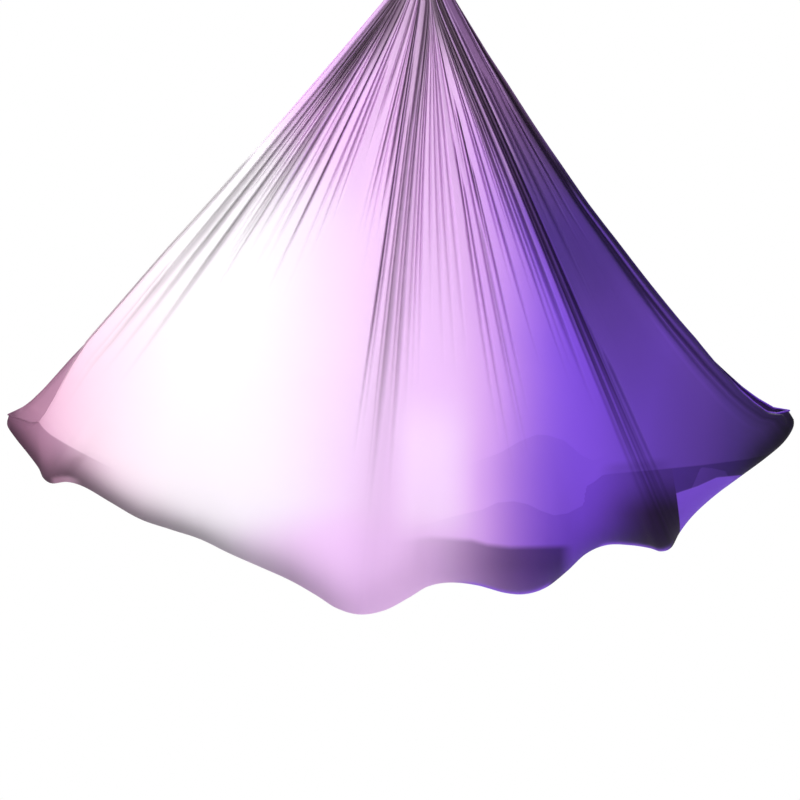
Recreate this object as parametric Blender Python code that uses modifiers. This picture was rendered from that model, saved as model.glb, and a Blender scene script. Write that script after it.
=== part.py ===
"""Aerial hammock with its ceiling rigging, in metres, +Z up, hanging from the plate's top face at the origin."""

import math

import bmesh
import bpy
import numpy as np
from mathutils import Vector

GAP = 0.0003  # clearance between pieces that touch

# Ceiling plate, bow and anchor bolts
PLATE_SIDE = 0.110
PLATE_THICK = 0.008
PLATE_CORNER = 0.014
BOLT_PITCH = 0.078
BOLT_RADIUS = 0.005
BOLT_HEAD_FLATS = 0.017
BOLT_HEAD_HIGH = 0.0064
WASHER_RADIUS = 0.010
WASHER_THICK = 0.002
BOW_ROD = 0.006
BOW_BEND = 0.022
BOW_LEG_LOW = -0.030
WELD_LEG = 0.0040

# Twist-lock carabiners: an oval of round rod
RIM_ROD = 0.0055
RIM_BEND = 0.022
RIM_STRAIGHT = 0.062
PIN_ABOVE_BEND = 0.005
PIN_RADIUS = 0.0015
TONGUE_THICK = 0.004
TONGUE_RADIUS = 0.0048
NOSE_DROP = 0.004
GATE_CLEAR = 0.0008
SLEEVE_LONG = 0.027
SLEEVE_OUTER = 0.0085
GATE_OPEN = 20

# Swivel: two eyes on a ball bearing
EYE_ROD = 0.005
EYE_BEND = 0.015
HOUSING_RADIUS = 0.017
HOUSING_BORE = 0.0134
SHAFT_RADIUS = 0.006
NUT_FLATS = 0.0150
NUT_HIGH = 0.0055
RACE_THICK = 0.0016
BALL_RADIUS = 0.0020
BALL_CIRCLE = 0.0097
BALL_COUNT = 12
COLLAR_THICK = 0.0050

# Figure-eight ring
EIGHT_ROD = 0.006
EIGHT_SMALL = 0.015
EIGHT_LARGE = 0.034

# Gathered cloth ends, tied on the figure-eight
LOOP_ROD = 0.0085
LOOP_OFFSET = 0.009
LOOP_REACH = 0.0155
LOOP_LEG = 0.0092
WRAP_ROD = 0.0055
WRAP_TURNS = 3

# Hammock cloth. The falls meet on the seat line, which is given by x and z of its dips, left to right
NECK_Z = -0.4795
NECK_X = 0.0260
NECK_Y = 0.0260
BUNDLE_LONG = 0.045
BUNDLE_SHIFT = 0.030
CLOTH_THICK = 0.0016
POUCH_DEEP = 0.300
POUCH_ROUND = 10
FOLDS = 11
FOLD_COLUMNS = 4
FOLD_DEEP = 0.030
SEAT_LINE = [
    (-1.468, -2.130), (-1.371, -2.256), (-1.325, -2.327), (-1.236, -2.327), (-1.146, -2.388),
    (-0.986, -2.463), (-0.789, -2.524), (-0.611, -2.613), (-0.468, -2.656), (-0.325, -2.745),
    (-0.229, -2.788), (-0.075, -2.745), (0.068, -2.681), (0.282, -2.703), (0.361, -2.720),
    (0.496, -2.656), (0.629, -2.549), (0.746, -2.535), (0.836, -2.563), (0.896, -2.560),
    (0.945, -2.474), (1.066, -2.356), (1.118, -2.326), (1.268, -2.216), (1.329, -2.135),
]

# How far the free side edges hang off a straight line, at shares of the way down, and the tuck of the
# front edge near the left tip
SAG_ALONG = [0, 0.16, 0.335, 0.51, 0.60, 0.77, 0.855, 0.90, 0.94, 0.965, 0.985, 1]
RIGHT_SAG = [0.008, -0.029, -0.064, -0.093, -0.108, -0.110, -0.093, -0.066, -0.038, 0, 0.003, 0]
LEFT_SAG = [0, 0, 0, 0, 0, -0.004, -0.018, -0.008, -0.018, -0.034, -0.032, 0]
TUCK = 0.115


# Scene helpers


def clear_scene():
    for item in list(bpy.data.objects):
        bpy.data.objects.remove(item, do_unlink=True)


def make_collection(name, hidden=False):
    group = bpy.data.collections.new(name)
    group.hide_render = hidden
    bpy.context.scene.collection.children.link(group)
    return group


def make_material(name, colour, roughness, metallic):
    material = bpy.data.materials.new(name)
    material.use_nodes = True
    shader = material.node_tree.nodes["Principled BSDF"]
    shader.inputs["Base Color"].default_value = (*colour, 1)
    shader.inputs["Roughness"].default_value = roughness
    shader.inputs["Metallic"].default_value = metallic
    material.diffuse_color = (*colour, 1)
    return material


def add_mesh(name, points, faces, material, helper=False):
    """An object from points and faces, with its faces turned out."""
    mesh = bpy.data.meshes.new(name)
    mesh.from_pydata([tuple(p) for p in points], [], faces)
    work = bmesh.new()
    work.from_mesh(mesh)
    bmesh.ops.remove_doubles(work, verts=work.verts, dist=0.000005)
    bmesh.ops.recalc_face_normals(work, faces=work.faces)
    work.to_mesh(mesh)
    work.free()
    item = bpy.data.objects.new(name, mesh)
    if material:
        mesh.materials.append(material)
    if helper:
        item.hide_render = True
        item.display_type = "WIRE"
        HELPERS.objects.link(item)
    else:
        MODEL.objects.link(item)
    return item


def smooth(item):
    for face in item.data.polygons:
        face.use_smooth = True
    return item


def hinge_at(item, pivot):
    """Moves the object's origin to its joint without moving its shape."""
    pivot = Vector(pivot)
    for vertex in item.data.vertices:
        vertex.co -= pivot
    item.location = pivot
    return item


def combine(item, other, operation):
    modifier = item.modifiers.new(operation.title(), "BOOLEAN")
    modifier.operation = operation
    modifier.solver = "EXACT"
    modifier.object = other


def turned(name, profile, material, steps=32, helper=False, centre=(0, 0)):
    """Turns a profile of (radius, z) pairs about a vertical axis. A profile off the axis is closed into a ring."""
    on_axis = profile[0][0] == 0
    points = []
    faces = []
    count = len(profile)
    for step in range(steps):
        angle = 2 * math.pi * step / steps
        for radius, z in profile:
            points.append((centre[0] + radius * math.cos(angle), centre[1] + radius * math.sin(angle), z))
    last = count - 1 if on_axis else count
    for step in range(steps):
        here = step * count
        there = (step + 1) % steps * count
        for row in range(last):
            below = (row + 1) % count
            corners = [here + row, here + below, there + below, there + row]
            if profile[row][0] == 0:
                corners = corners[:3]
            elif profile[below][0] == 0:
                corners = [corners[0], corners[1], corners[3]]
            faces.append(corners)
    return smooth(add_mesh(name, points, faces, material, helper))


def prism(name, outline, low, high, axis, material, helper=False):
    """Extrudes a flat outline between two heights. Axis X takes (y, z) points and axis Z takes (x, y) points."""
    points = []
    for height in (low, high):
        for a, b in outline:
            points.append((height, a, b) if axis == "X" else (a, b, height))
    count = len(outline)
    faces = [list(range(count)), list(range(count, 2 * count))]
    for side in range(count):
        after = (side + 1) % count
        faces.append([side, after, count + after, count + side])
    return add_mesh(name, points, faces, material, helper)


def drill(name, centre, radius, low, high, axis, steps=28):
    outline = circle_points(centre, radius, steps)
    return prism(name, outline, low, high, axis, None, helper=True)


def circle_points(centre, radius, steps, start=0.0, end=2 * math.pi):
    """Points round a circle, or along an arc with both ends when the arc is open."""
    closed = abs(end - start - 2 * math.pi) < 1e-6
    last = steps if closed else steps - 1
    angles = [start + (end - start) * step / last for step in range(steps)]
    return [(centre[0] + radius * math.cos(a), centre[1] + radius * math.sin(a)) for a in angles]


def hexagon(flats, centre=(0, 0)):
    return circle_points(centre, flats / math.sqrt(3), 6)


def rod(name, path, radius, material, closed=False, sides=3, helper=False):
    """A round rod along a path, as a curve with a bevel, turned into a mesh so that it can be cut."""
    curve = bpy.data.curves.new(name + "_path", "CURVE")
    curve.dimensions = "3D"
    curve.bevel_depth = radius
    curve.bevel_resolution = sides
    curve.use_fill_caps = not closed
    spline = curve.splines.new("POLY")
    spline.points.add(len(path) - 1)
    for point, place in zip(spline.points, path):
        point.co = (*place, 1)
    spline.use_cyclic_u = closed
    holder = bpy.data.objects.new(name + "_path", curve)
    mesh = bpy.data.meshes.new_from_object(holder)
    points = [tuple(v.co) for v in mesh.vertices]
    faces = [list(p.vertices) for p in mesh.polygons]
    bpy.data.objects.remove(holder, do_unlink=True)
    bpy.data.meshes.remove(mesh)
    return smooth(add_mesh(name, points, faces, material, helper))


def ring_path(z_centre, bend, steps=30):
    """A circle in the XZ plane."""
    return [(x, 0, z) for x, z in circle_points((0, z_centre), bend, steps)]


# Ceiling fitting


def rounded_square(side, corner):
    outline = []
    reach = side / 2 - corner
    for quarter, (x, y) in enumerate([(1, 1), (-1, 1), (-1, -1), (1, -1)]):
        start = quarter * math.pi / 2
        outline += circle_points((x * reach, y * reach), corner, 7, start, start + math.pi / 2)
    return outline


def make_plate():
    plate = prism("ceiling_plate", rounded_square(PLATE_SIDE, PLATE_CORNER), -PLATE_THICK, 0, "Z", STEEL)
    for number, (x, y) in enumerate(bolt_places()):
        combine(plate, drill(f"bolt_hole_{number}", (x, y), BOLT_RADIUS + 0.0005, -0.02, 0.01, "Z"), "DIFFERENCE")
    for side in (-1, 1):
        hole = drill(f"bow_hole_{side}", (side * BOW_BEND, 0), BOW_ROD + GAP, -0.02, 0.01, "Z")
        combine(plate, hole, "DIFFERENCE")
    return plate


def bolt_places():
    half = BOLT_PITCH / 2
    return [(half, half), (-half, half), (-half, -half), (half, -half)]


def make_bow():
    """The bow's legs pass through the plate, where they are plug welded."""
    path = [(BOW_BEND, 0, -0.0006), (BOW_BEND, 0, BOW_LEG_LOW)]
    for x, z in circle_points((0, BOW_LEG_LOW), BOW_BEND, 19, 0, -math.pi)[1:-1]:
        path.append((x, 0, z))
    path += [(-BOW_BEND, 0, BOW_LEG_LOW), (-BOW_BEND, 0, -0.0006)]
    bow = rod("ceiling_bow", path, BOW_ROD, STEEL)
    for side in (-1, 1):
        combine(bow, weld_bead(f"weld_bead_{side}", side * BOW_BEND), "UNION")
    return bow


def weld_bead(name, x):
    """A fillet weld round a leg of the bow, under the plate."""
    high = -PLATE_THICK - GAP
    inner = BOW_ROD - 0.001
    profile = [(inner, high), (BOW_ROD + WELD_LEG, high), (BOW_ROD + 0.7 * WELD_LEG, high - 0.4 * WELD_LEG)]
    profile += [(BOW_ROD + 0.3 * WELD_LEG, high - 0.8 * WELD_LEG), (inner, high - 1.1 * WELD_LEG)]
    return turned(name, profile, STEEL, 20, True, (x, 0))


def make_bolt(number, x, y):
    """A washer and a hexagon bolt that is screwed up through the plate."""
    washer_top = -PLATE_THICK - GAP
    washer_low = washer_top - WASHER_THICK
    bore = BOLT_RADIUS + 0.0005
    ring = [(bore, washer_top), (WASHER_RADIUS, washer_top), (WASHER_RADIUS, washer_low), (bore, washer_low)]
    turned(f"anchor_washer_{number}", ring, ZINC, 24, centre=(x, y))
    head_top = washer_low - GAP
    head = prism(f"anchor_bolt_{number}", hexagon(BOLT_HEAD_FLATS, (x, y)), head_top - BOLT_HEAD_HIGH, head_top, "Z", ZINC)
    shank = [(0, -0.0006), (BOLT_RADIUS - 0.0006, -0.0006), (BOLT_RADIUS, -0.0012), (BOLT_RADIUS, head_top - 0.003)]
    shank.append((0, head_top - 0.003))
    combine(head, turned(f"bolt_shank_{number}", shank, ZINC, 16, True, (x, y)), "UNION")
    dish = head_top - BOLT_HEAD_HIGH
    hollow = [(0, dish + 0.0008), (0.0050, dish + 0.0008), (0.0064, dish - 0.001), (0, dish - 0.001)]
    combine(head, turned(f"bolt_dish_{number}", hollow, None, 16, True, (x, y)), "DIFFERENCE")


# Carabiners


def carabiner_rim(name, z_top):
    """The C-shaped rim from its nose over the top and round to the hinge. The gate side is at -Y."""
    high = z_top - RIM_BEND
    low = high - RIM_STRAIGHT
    pin_z = low + PIN_ABOVE_BEND
    path = [(0, -RIM_BEND, high - NOSE_DROP), (0, -RIM_BEND, high)]
    for y, z in circle_points((0, high), RIM_BEND, 17, math.pi, 0)[1:]:
        path.append((0, y, z))
    for y, z in circle_points((0, low), RIM_BEND, 17, 0, -math.pi)[:-1]:
        path.append((0, y, z))
    path += [(0, -RIM_BEND, low), (0, -RIM_BEND, pin_z + RIM_ROD)]
    rim = rod(name, path, RIM_ROD, STEEL)
    combine(rim, hinge_rounding(name, pin_z), "DIFFERENCE")
    slot = [(-RIM_BEND - 0.009, pin_z - 0.0054), (-RIM_BEND + 0.009, pin_z - 0.0054)]
    slot += [(-RIM_BEND + 0.009, pin_z + 0.009), (-RIM_BEND - 0.009, pin_z + 0.009)]
    half = TONGUE_THICK / 2 + GAP
    combine(rim, prism(name + "_slot", slot, -half, half, "X", None, True), "DIFFERENCE")
    bore = drill(name + "_pin_hole", (-RIM_BEND, pin_z), PIN_RADIUS + GAP, -0.01, 0.01, "X")
    combine(rim, bore, "DIFFERENCE")
    return rim, high, pin_z


def hinge_rounding(name, pin_z):
    """A block with a round bite, which leaves the rim's end rounded about the pin."""
    bite = circle_points((-RIM_BEND, pin_z), RIM_ROD, 17, math.pi, 0)
    outline = [(-RIM_BEND - 0.009, pin_z)] + bite + [(-RIM_BEND + 0.009, pin_z)]
    outline += [(-RIM_BEND + 0.009, pin_z + 0.012), (-RIM_BEND - 0.009, pin_z + 0.012)]
    return prism(name + "_rounding", outline, -0.01, 0.01, "X", None, True)


def carabiner_gate(name, high, pin_z):
    """The gate's rod stands on a tongue that turns about the pin."""
    shoulder = pin_z + RIM_ROD + 0.0006
    top = high - NOSE_DROP - GATE_CLEAR
    profile = [(0, top), (RIM_ROD - 0.0006, top), (RIM_ROD, top - 0.0006), (RIM_ROD, shoulder + 0.0004)]
    profile += [(RIM_ROD - 0.0004, shoulder), (0, shoulder)]
    gate = turned(name, profile, STEEL, 28, centre=(0, -RIM_BEND))
    outline = circle_points((-RIM_BEND, pin_z), TONGUE_RADIUS, 17, math.pi, 2 * math.pi)
    outline += [(-RIM_BEND + TONGUE_RADIUS - 0.0008, shoulder + 0.002), (-RIM_BEND - TONGUE_RADIUS + 0.0008, shoulder + 0.002)]
    half = TONGUE_THICK / 2
    combine(gate, prism(name + "_tongue", outline, -half, half, "X", None, True), "UNION")
    bore = drill(name + "_pin_hole", (-RIM_BEND, pin_z), PIN_RADIUS + GAP, -0.01, 0.01, "X")
    combine(gate, bore, "DIFFERENCE")
    return gate, top


def carabiner_pin(name, pin_z):
    """The hinge pin, with a shallow dome on each end."""
    outline = circle_points((-RIM_BEND, pin_z), PIN_RADIUS, 20)
    return smooth(prism(name, outline, -0.0056, 0.0056, "X", STEEL))


def carabiner_sleeve(name, top):
    """The ribbed sleeve turns on the gate. A recess at its lower end holds the return spring."""
    high = top - 0.0015
    low = high - SLEEVE_LONG
    bore = RIM_ROD + GAP
    recess = bore + 0.0017
    profile = [(bore, high), (SLEEVE_OUTER - 0.001, high), (SLEEVE_OUTER, high - 0.001)]
    profile += [(SLEEVE_OUTER, low + 0.001), (SLEEVE_OUTER - 0.001, low), (recess, low)]
    profile += [(recess, low + 0.012), (bore, low + 0.012)]
    sleeve = turned(name, profile, ANODISED, 48, centre=(0, -RIM_BEND))
    for number, vertex in enumerate(sleeve.data.vertices):
        offset = Vector((vertex.co.x, vertex.co.y + RIM_BEND, 0))
        grip = low + 0.0005 < vertex.co.z < high - 0.0005
        if grip and offset.length > SLEEVE_OUTER - 0.0001 and round(math.atan2(offset.y, offset.x) / (math.pi / 24)) % 2:
            vertex.co -= offset.normalized() * 0.0005
    return sleeve, low


def sleeve_spring(name, low):
    middle = RIM_ROD + GAP + 0.00085
    path = []
    for step in range(4 * 12 + 1):
        angle = step / 12 * 2 * math.pi
        height = low + 0.0008 + 0.0104 * step / 48
        path.append((middle * math.cos(angle), -RIM_BEND + middle * math.sin(angle), height))
    return rod(name, path, 0.0005, STEEL, sides=0)


def make_carabiner(which, z_top, pivot_z):
    rim, high, pin_z = carabiner_rim(which + "_carabiner_rim", z_top)
    gate, gate_top = carabiner_gate(which + "_carabiner_gate", high, pin_z)
    pin = carabiner_pin(which + "_gate_pin", pin_z)
    sleeve, sleeve_low = carabiner_sleeve(which + "_lock_sleeve", gate_top)
    spring = sleeve_spring(which + "_sleeve_spring", sleeve_low)
    hinge_at(rim, (0, 0, pivot_z))
    hinge_at(pin, (0, 0, pivot_z))
    hinge_at(gate, (0, -RIM_BEND, pin_z))
    hinge_at(sleeve, (0, -RIM_BEND, gate_top - SLEEVE_LONG / 2))
    hinge_at(spring, (0, -RIM_BEND, gate_top - SLEEVE_LONG / 2))
    return high - RIM_STRAIGHT - RIM_BEND


# Swivel


def make_upper_eye(z_top, pivot_z):
    """An eye whose lower end is a cup that holds the bearing. It returns the height of the cup's ceiling."""
    eye = rod("swivel_upper_eye", ring_path(z_top - EYE_BEND, EYE_BEND), EYE_ROD, STEEL, True)
    crown = z_top - 2 * EYE_BEND + 0.002
    ceiling = crown - 0.0078
    rim_z = housing_low(ceiling)
    profile = [(0, crown), (0.008, crown), (0.0135, crown - 0.002), (HOUSING_RADIUS, crown - 0.007)]
    profile += [(HOUSING_RADIUS, rim_z + 0.001), (HOUSING_RADIUS - 0.001, rim_z), (HOUSING_BORE, rim_z)]
    profile += [(HOUSING_BORE, ceiling), (0, ceiling)]
    combine(eye, turned("swivel_cup", profile, STEEL, 32, True), "UNION")
    hinge_at(eye, (0, 0, pivot_z))
    return ceiling


def housing_low(ceiling):
    return ceiling - 0.0012 - NUT_HIGH - 2 * RACE_THICK - 2 * BALL_RADIUS - COLLAR_THICK - 6 * GAP


def make_bearing(ceiling):
    """Nut, race, ball ring, race and collar, from the cup's ceiling down. It returns the collar's lower face."""
    z = ceiling - 0.0012
    nut = prism("swivel_nut", hexagon(NUT_FLATS), z - NUT_HIGH, z, "Z", ZINC)
    combine(nut, drill("nut_bore", (0, 0), SHAFT_RADIUS + GAP, z - 0.02, z + 0.01, "Z"), "DIFFERENCE")
    z -= NUT_HIGH + GAP
    make_race("swivel_upper_race", z)
    z -= RACE_THICK + GAP
    make_ball_ring(z - BALL_RADIUS)
    z -= 2 * BALL_RADIUS + GAP
    make_race("swivel_lower_race", z)
    z -= RACE_THICK + GAP
    inner = SHAFT_RADIUS + 0.0006
    outer = HOUSING_BORE - GAP
    profile = [(inner, z), (outer, z), (outer, z - COLLAR_THICK), (inner, z - COLLAR_THICK)]
    collar = turned("swivel_collar", profile, STEEL, 32)
    for side in (-1, 1):
        notch = drill(f"collar_notch_{side}", (side * 0.0102, 0), 0.0012, z - 0.01, z - 0.0025, "Z", 16)
        combine(collar, notch, "DIFFERENCE")
    return z - COLLAR_THICK


def make_race(name, top):
    inner = SHAFT_RADIUS + 0.0005
    outer = HOUSING_BORE - 0.0005
    profile = [(inner, top), (outer, top), (outer, top - RACE_THICK), (inner, top - RACE_THICK)]
    return turned(name, profile, CHROME, 28)


def make_ball_ring(middle):
    """Twelve balls in a flat cage."""
    half = 0.0006
    inner = BALL_CIRCLE - 0.0026
    outer = BALL_CIRCLE + 0.0026
    profile = [(inner, middle + half), (outer, middle + half), (outer, middle - half), (inner, middle - half)]
    cage = turned("swivel_ball_ring", profile, CHROME, 36)
    for number in range(BALL_COUNT):
        angle = 2 * math.pi * number / BALL_COUNT
        centre = (BALL_CIRCLE * math.cos(angle), BALL_CIRCLE * math.sin(angle))
        arc = [(BALL_RADIUS * math.sin(math.pi * s / 4), middle + BALL_RADIUS * math.cos(math.pi * s / 4)) for s in range(5)]
        arc[0] = (0, arc[0][1])
        arc[-1] = (0, arc[-1][1])
        combine(cage, turned(f"ball_{number}", arc, CHROME, 6, True, centre), "UNION")
    return cage


def make_lower_eye(collar_low, shaft_top):
    """The lower eye is forged in one with its flange and the shaft."""
    flange_top = collar_low - 0.0010
    flange_low = flange_top - 0.0036
    profile = [(0, shaft_top), (SHAFT_RADIUS - 0.0008, shaft_top), (SHAFT_RADIUS, shaft_top - 0.0008)]
    profile += [(SHAFT_RADIUS, flange_top), (0.0150, flange_top), (0.0160, flange_top - 0.001)]
    profile += [(0.0150, flange_low), (0.0090, flange_low - 0.0020), (0, flange_low - 0.0020)]
    eye = turned("swivel_lower_eye", profile, STEEL, 32)
    z_top = flange_low - 0.0015
    ring = rod("lower_eye_ring", ring_path(z_top - EYE_BEND, EYE_BEND), EYE_ROD, STEEL, True, helper=True)
    combine(eye, ring, "UNION")
    hinge_at(eye, (0, 0, collar_low))
    return z_top - 2 * EYE_BEND


# Figure-eight ring


def make_eight(z_top, pivot_z):
    """Two rings forged together with a short waist. It returns the height of the large ring's lowest rod."""
    small_centre = z_top - EIGHT_SMALL
    large_centre = z_top - 2 * EIGHT_SMALL - 0.004 - EIGHT_LARGE
    eight = rod("figure_eight", ring_path(large_centre, EIGHT_LARGE, 32), EIGHT_ROD, STEEL, True)
    small = rod("eight_small_ring", ring_path(small_centre, EIGHT_SMALL, 24), EIGHT_ROD, STEEL, True, helper=True)
    combine(eight, small, "UNION")
    hinge_at(eight, (0, 0, pivot_z))
    return large_centre - EIGHT_LARGE


# Gathered ends and knot


def make_end_loop(name, x, ring_z, low):
    """One gathered cloth end, which comes up out of the knot, over the ring's lowest rod and down again."""
    middle = ring_z + EIGHT_ROD + 0.0112 - LOOP_REACH
    leg = []
    for part in range(8):
        z = low + (middle - low) * part / 7
        apart = min(1, max(0, (z - ring_z + 0.022) / 0.020))
        leg.append((x, LOOP_LEG + (LOOP_REACH - LOOP_LEG) * apart * apart * (3 - 2 * apart), z))
    path = [(x, -y, z) for x, y, z in leg]
    for y, z in circle_points((0, middle), LOOP_REACH, 13, math.pi, 0)[1:-1]:
        path.append((x, y, z))
    path += leg[::-1]
    return rod(name, path, LOOP_ROD, CLOTH_MID, sides=3)


def make_wrap(high, low):
    """The knot's own turns, wound round the four gathered legs."""
    reach = math.hypot(LOOP_OFFSET, LOOP_LEG) + LOOP_ROD + WRAP_ROD + 0.0008
    path = []
    count = WRAP_TURNS * 24
    for step in range(count + 1):
        angle = 2 * math.pi * step / 24 + 0.6
        path.append((reach * math.cos(angle), reach * math.sin(angle), high + (low - high) * step / count))
    print("least gap between the knot's turns", round(least_gap(path, WRAP_ROD, 12) * 1000, 2), "mm")
    return rod("knot_wrap", path, WRAP_ROD, CLOTH_MID, sides=1)


def least_gap(path, radius, apart):
    """The least space that a coiled rod leaves between points that are some steps apart."""
    places = np.array(path)
    spans = np.linalg.norm(places[:, None] - places[None], axis=2)
    steps = np.abs(np.subtract.outer(np.arange(len(path)), np.arange(len(path))))
    return spans[steps >= apart].min() - 2 * radius


# Hammock cloth


def seat_points(shares):
    """Points on the seat line at equal shares of its length, as x and z."""
    corners = np.array(SEAT_LINE)
    rounds = np.linspace(0, len(corners) - 1, 600)
    fine = np.stack([hermite(corners[:, axis], rounds) for axis in (0, 1)], axis=1)
    lengths = np.concatenate([[0], np.cumsum(np.linalg.norm(np.diff(fine, axis=0), axis=1))])
    wanted = np.asarray(shares) * lengths[-1]
    return np.stack([np.interp(wanted, lengths, fine[:, axis]) for axis in (0, 1)], axis=1)


def hermite(values, places):
    """A smooth curve through evenly spaced values."""
    slopes = np.gradient(values)
    left = np.clip(np.floor(places).astype(int), 0, len(values) - 2)
    t = places - left
    a = 2 * t**3 - 3 * t**2 + 1
    b = t**3 - 2 * t**2 + t
    c = 3 * t**2 - 2 * t**3
    d = t**3 - t**2
    return a * values[left] + b * slopes[left] + c * values[left + 1] + d * slopes[left + 1]


def fall_shape(shares, side):
    """Rows of points down one fall from the knot to the seat line, at each share of the cloth's width."""
    seat = seat_points(shares)
    columns = []
    for number, share in enumerate(shares):
        arch = math.sin(math.pi * share)
        along = np.linspace(0, 1, 481)
        across = fan_line(share, arch, seat[number], along)
        deep = POUCH_DEEP * (0.25 + 0.75 * arch**0.8)
        belly = along * np.sqrt(np.clip(1 - along**POUCH_ROUND, 0, 1)) * 1.29
        start = 0.0055 + (NECK_Y - 0.0055) * arch
        out = start * (1 - along) + 0.0065 * along * (1 - along**30) + deep * belly + 0.0006
        fold = FOLD_DEEP * fold_fade(along) * fold_wave(number)
        if side < 0:
            across[:, 0] += TUCK * math.exp(-((share / 0.05) ** 1.3)) * tuck_fade(along)
        steps = np.hypot(np.linalg.norm(np.diff(across, axis=0), axis=1), np.diff(out))
        lengths = np.concatenate([[0], np.cumsum(steps)])
        wanted = row_shares() * lengths[-1]
        x = np.interp(wanted, lengths, across[:, 0])
        z = np.interp(wanted, lengths, across[:, 1])
        y = np.interp(wanted, lengths, out + fold)
        columns.append(np.stack([x, side * y, z], axis=1))
    return np.array(columns)


def fan_line(share, arch, seat, along):
    """A line in front view. It stays inside the gathered bundle at first and then fans out to the seat line."""
    neck_x = -NECK_X * math.cos(math.pi * share)
    held = BUNDLE_LONG * arch
    spread = along - held + np.hypot(along - held, 0.03)
    spread = (spread - spread[0]) / (spread[-1] - spread[0])
    shift = BUNDLE_SHIFT * arch * (1 - along) * (1 - np.exp(-along / 0.03))
    x = neck_x + (seat[0] - neck_x) * spread + shift
    x += np.interp(along, SAG_ALONG, RIGHT_SAG) * math.exp((share - 1) / 0.13)
    x += np.interp(along, SAG_ALONG, LEFT_SAG) * math.exp(-share / 0.08)
    z = NECK_Z + (seat[1] - NECK_Z) * along
    return np.stack([x, z], axis=1)


def ease(values, start, end):
    """0 before start, 1 after end and smooth in between."""
    t = np.clip((values - start) / (end - start), 0, 1)
    return t * t * (3 - 2 * t)


def tuck_fade(along):
    """The tuck starts above the tip, is widest just above the seat and gone at it."""
    return ease(along, 0.80, 0.968) * (1 - ease(along, 0.972, 1))


def fold_wave(number):
    """The folds as a wave of 0, one half, 1, one half over four columns."""
    return (0.0, 0.5, 1.0, 0.5)[number % FOLD_COLUMNS]


def fold_fade(along):
    """The folds are shallow at the mouth, deepest below it and gone at the seat."""
    return np.minimum(0.1 + along * 5, 1) * np.clip(1 - along**3, 0, 1) * (1 - 0.45 * along)


def row_shares():
    return np.array([0, 0.045, 0.09, 0.18, 0.30, 0.45, 0.60, 0.74, 0.84, 0.905, 0.95, 0.98, 1.0])


def make_fall(name, side):
    """One fall of the cloth, as a folded sheet with a real thickness."""
    columns = FOLDS * FOLD_COLUMNS + 1
    grid = fall_shape(np.linspace(0, 1, columns), side)
    rows = grid.shape[1]
    points = grid.reshape(-1, 3)
    faces = []
    for column in range(columns - 1):
        for row in range(rows - 1):
            first = column * rows + row
            faces.append([first, first + 1, first + rows + 1, first + rows])
    mesh = bpy.data.meshes.new(name)
    mesh.from_pydata([tuple(p) for p in points], [], faces if side > 0 else [f[::-1] for f in faces])
    fall = bpy.data.objects.new(name, mesh)
    mesh.materials.append(CLOTH_LIGHT)
    MODEL.objects.link(fall)
    smooth(fall)
    shell = fall.modifiers.new("Thickness", "SOLIDIFY")
    shell.thickness = CLOTH_THICK
    shell.offset = 0
    return fall


def build():
    make_plate()
    make_bow()
    for number, (x, y) in enumerate(bolt_places(), start=1):
        make_bolt(number, x, y)
    bow_low = BOW_LEG_LOW - BOW_BEND
    upper_low = make_carabiner("upper", bow_low + BOW_ROD + RIM_ROD + GAP, bow_low)
    eye_top = upper_low + RIM_ROD + EYE_ROD + GAP
    ceiling = make_upper_eye(eye_top, upper_low)
    collar_low = make_bearing(ceiling)
    eye_low = make_lower_eye(collar_low, ceiling - 0.0006)
    lower_low = make_carabiner("lower", eye_low + EYE_ROD + RIM_ROD + GAP, eye_low)
    ring_low = make_eight(lower_low + RIM_ROD + EIGHT_ROD + GAP, lower_low)
    knot_low = ring_low - 0.066
    make_end_loop("front_end_loop", -LOOP_OFFSET, ring_low, knot_low + GAP)
    make_end_loop("back_end_loop", LOOP_OFFSET, ring_low, knot_low + GAP)
    make_wrap(knot_low + 0.0440, knot_low + 0.0075)
    make_fall("front_fall", -1)
    make_fall("back_fall", 1)
    print("bow", bow_low, "upper low", upper_low, "collar", collar_low, "eye low", eye_low)
    print("lower low", lower_low, "ring low", ring_low, "knot low", knot_low)


clear_scene()
MODEL = make_collection("aerial_hammock")
HELPERS = make_collection("cutters", hidden=True)
STEEL = make_material("brushed_steel", (0.55, 0.56, 0.58), 0.32, 1.0)
ZINC = make_material("zinc_plate", (0.62, 0.63, 0.66), 0.38, 1.0)
CHROME = make_material("bearing_steel", (0.72, 0.72, 0.74), 0.15, 1.0)
ANODISED = make_material("violet_anodised_aluminium", (0.18, 0.08, 0.42), 0.35, 1.0)
CLOTH_LIGHT = make_material("ombre_tricot", (0.82, 0.66, 0.90), 0.6, 0.0)
CLOTH_MID = make_material("gathered_tricot", (0.62, 0.40, 0.66), 0.65, 0.0)
build()
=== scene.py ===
# %% [markdown]
# # An aerial hammock
# One sheet of thin stretch cloth hangs in a loop from a ceiling plate. Above the cloth are a
# ring, two carabiners and a ball-bearing swivel. The rigging comes ready from the CAD model,
# and this lesson gives it its finishes, lays the cloth with all its pleats, and lights it.
# Everything is in metres, with the top face of the ceiling plate at the origin.

import math

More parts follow.
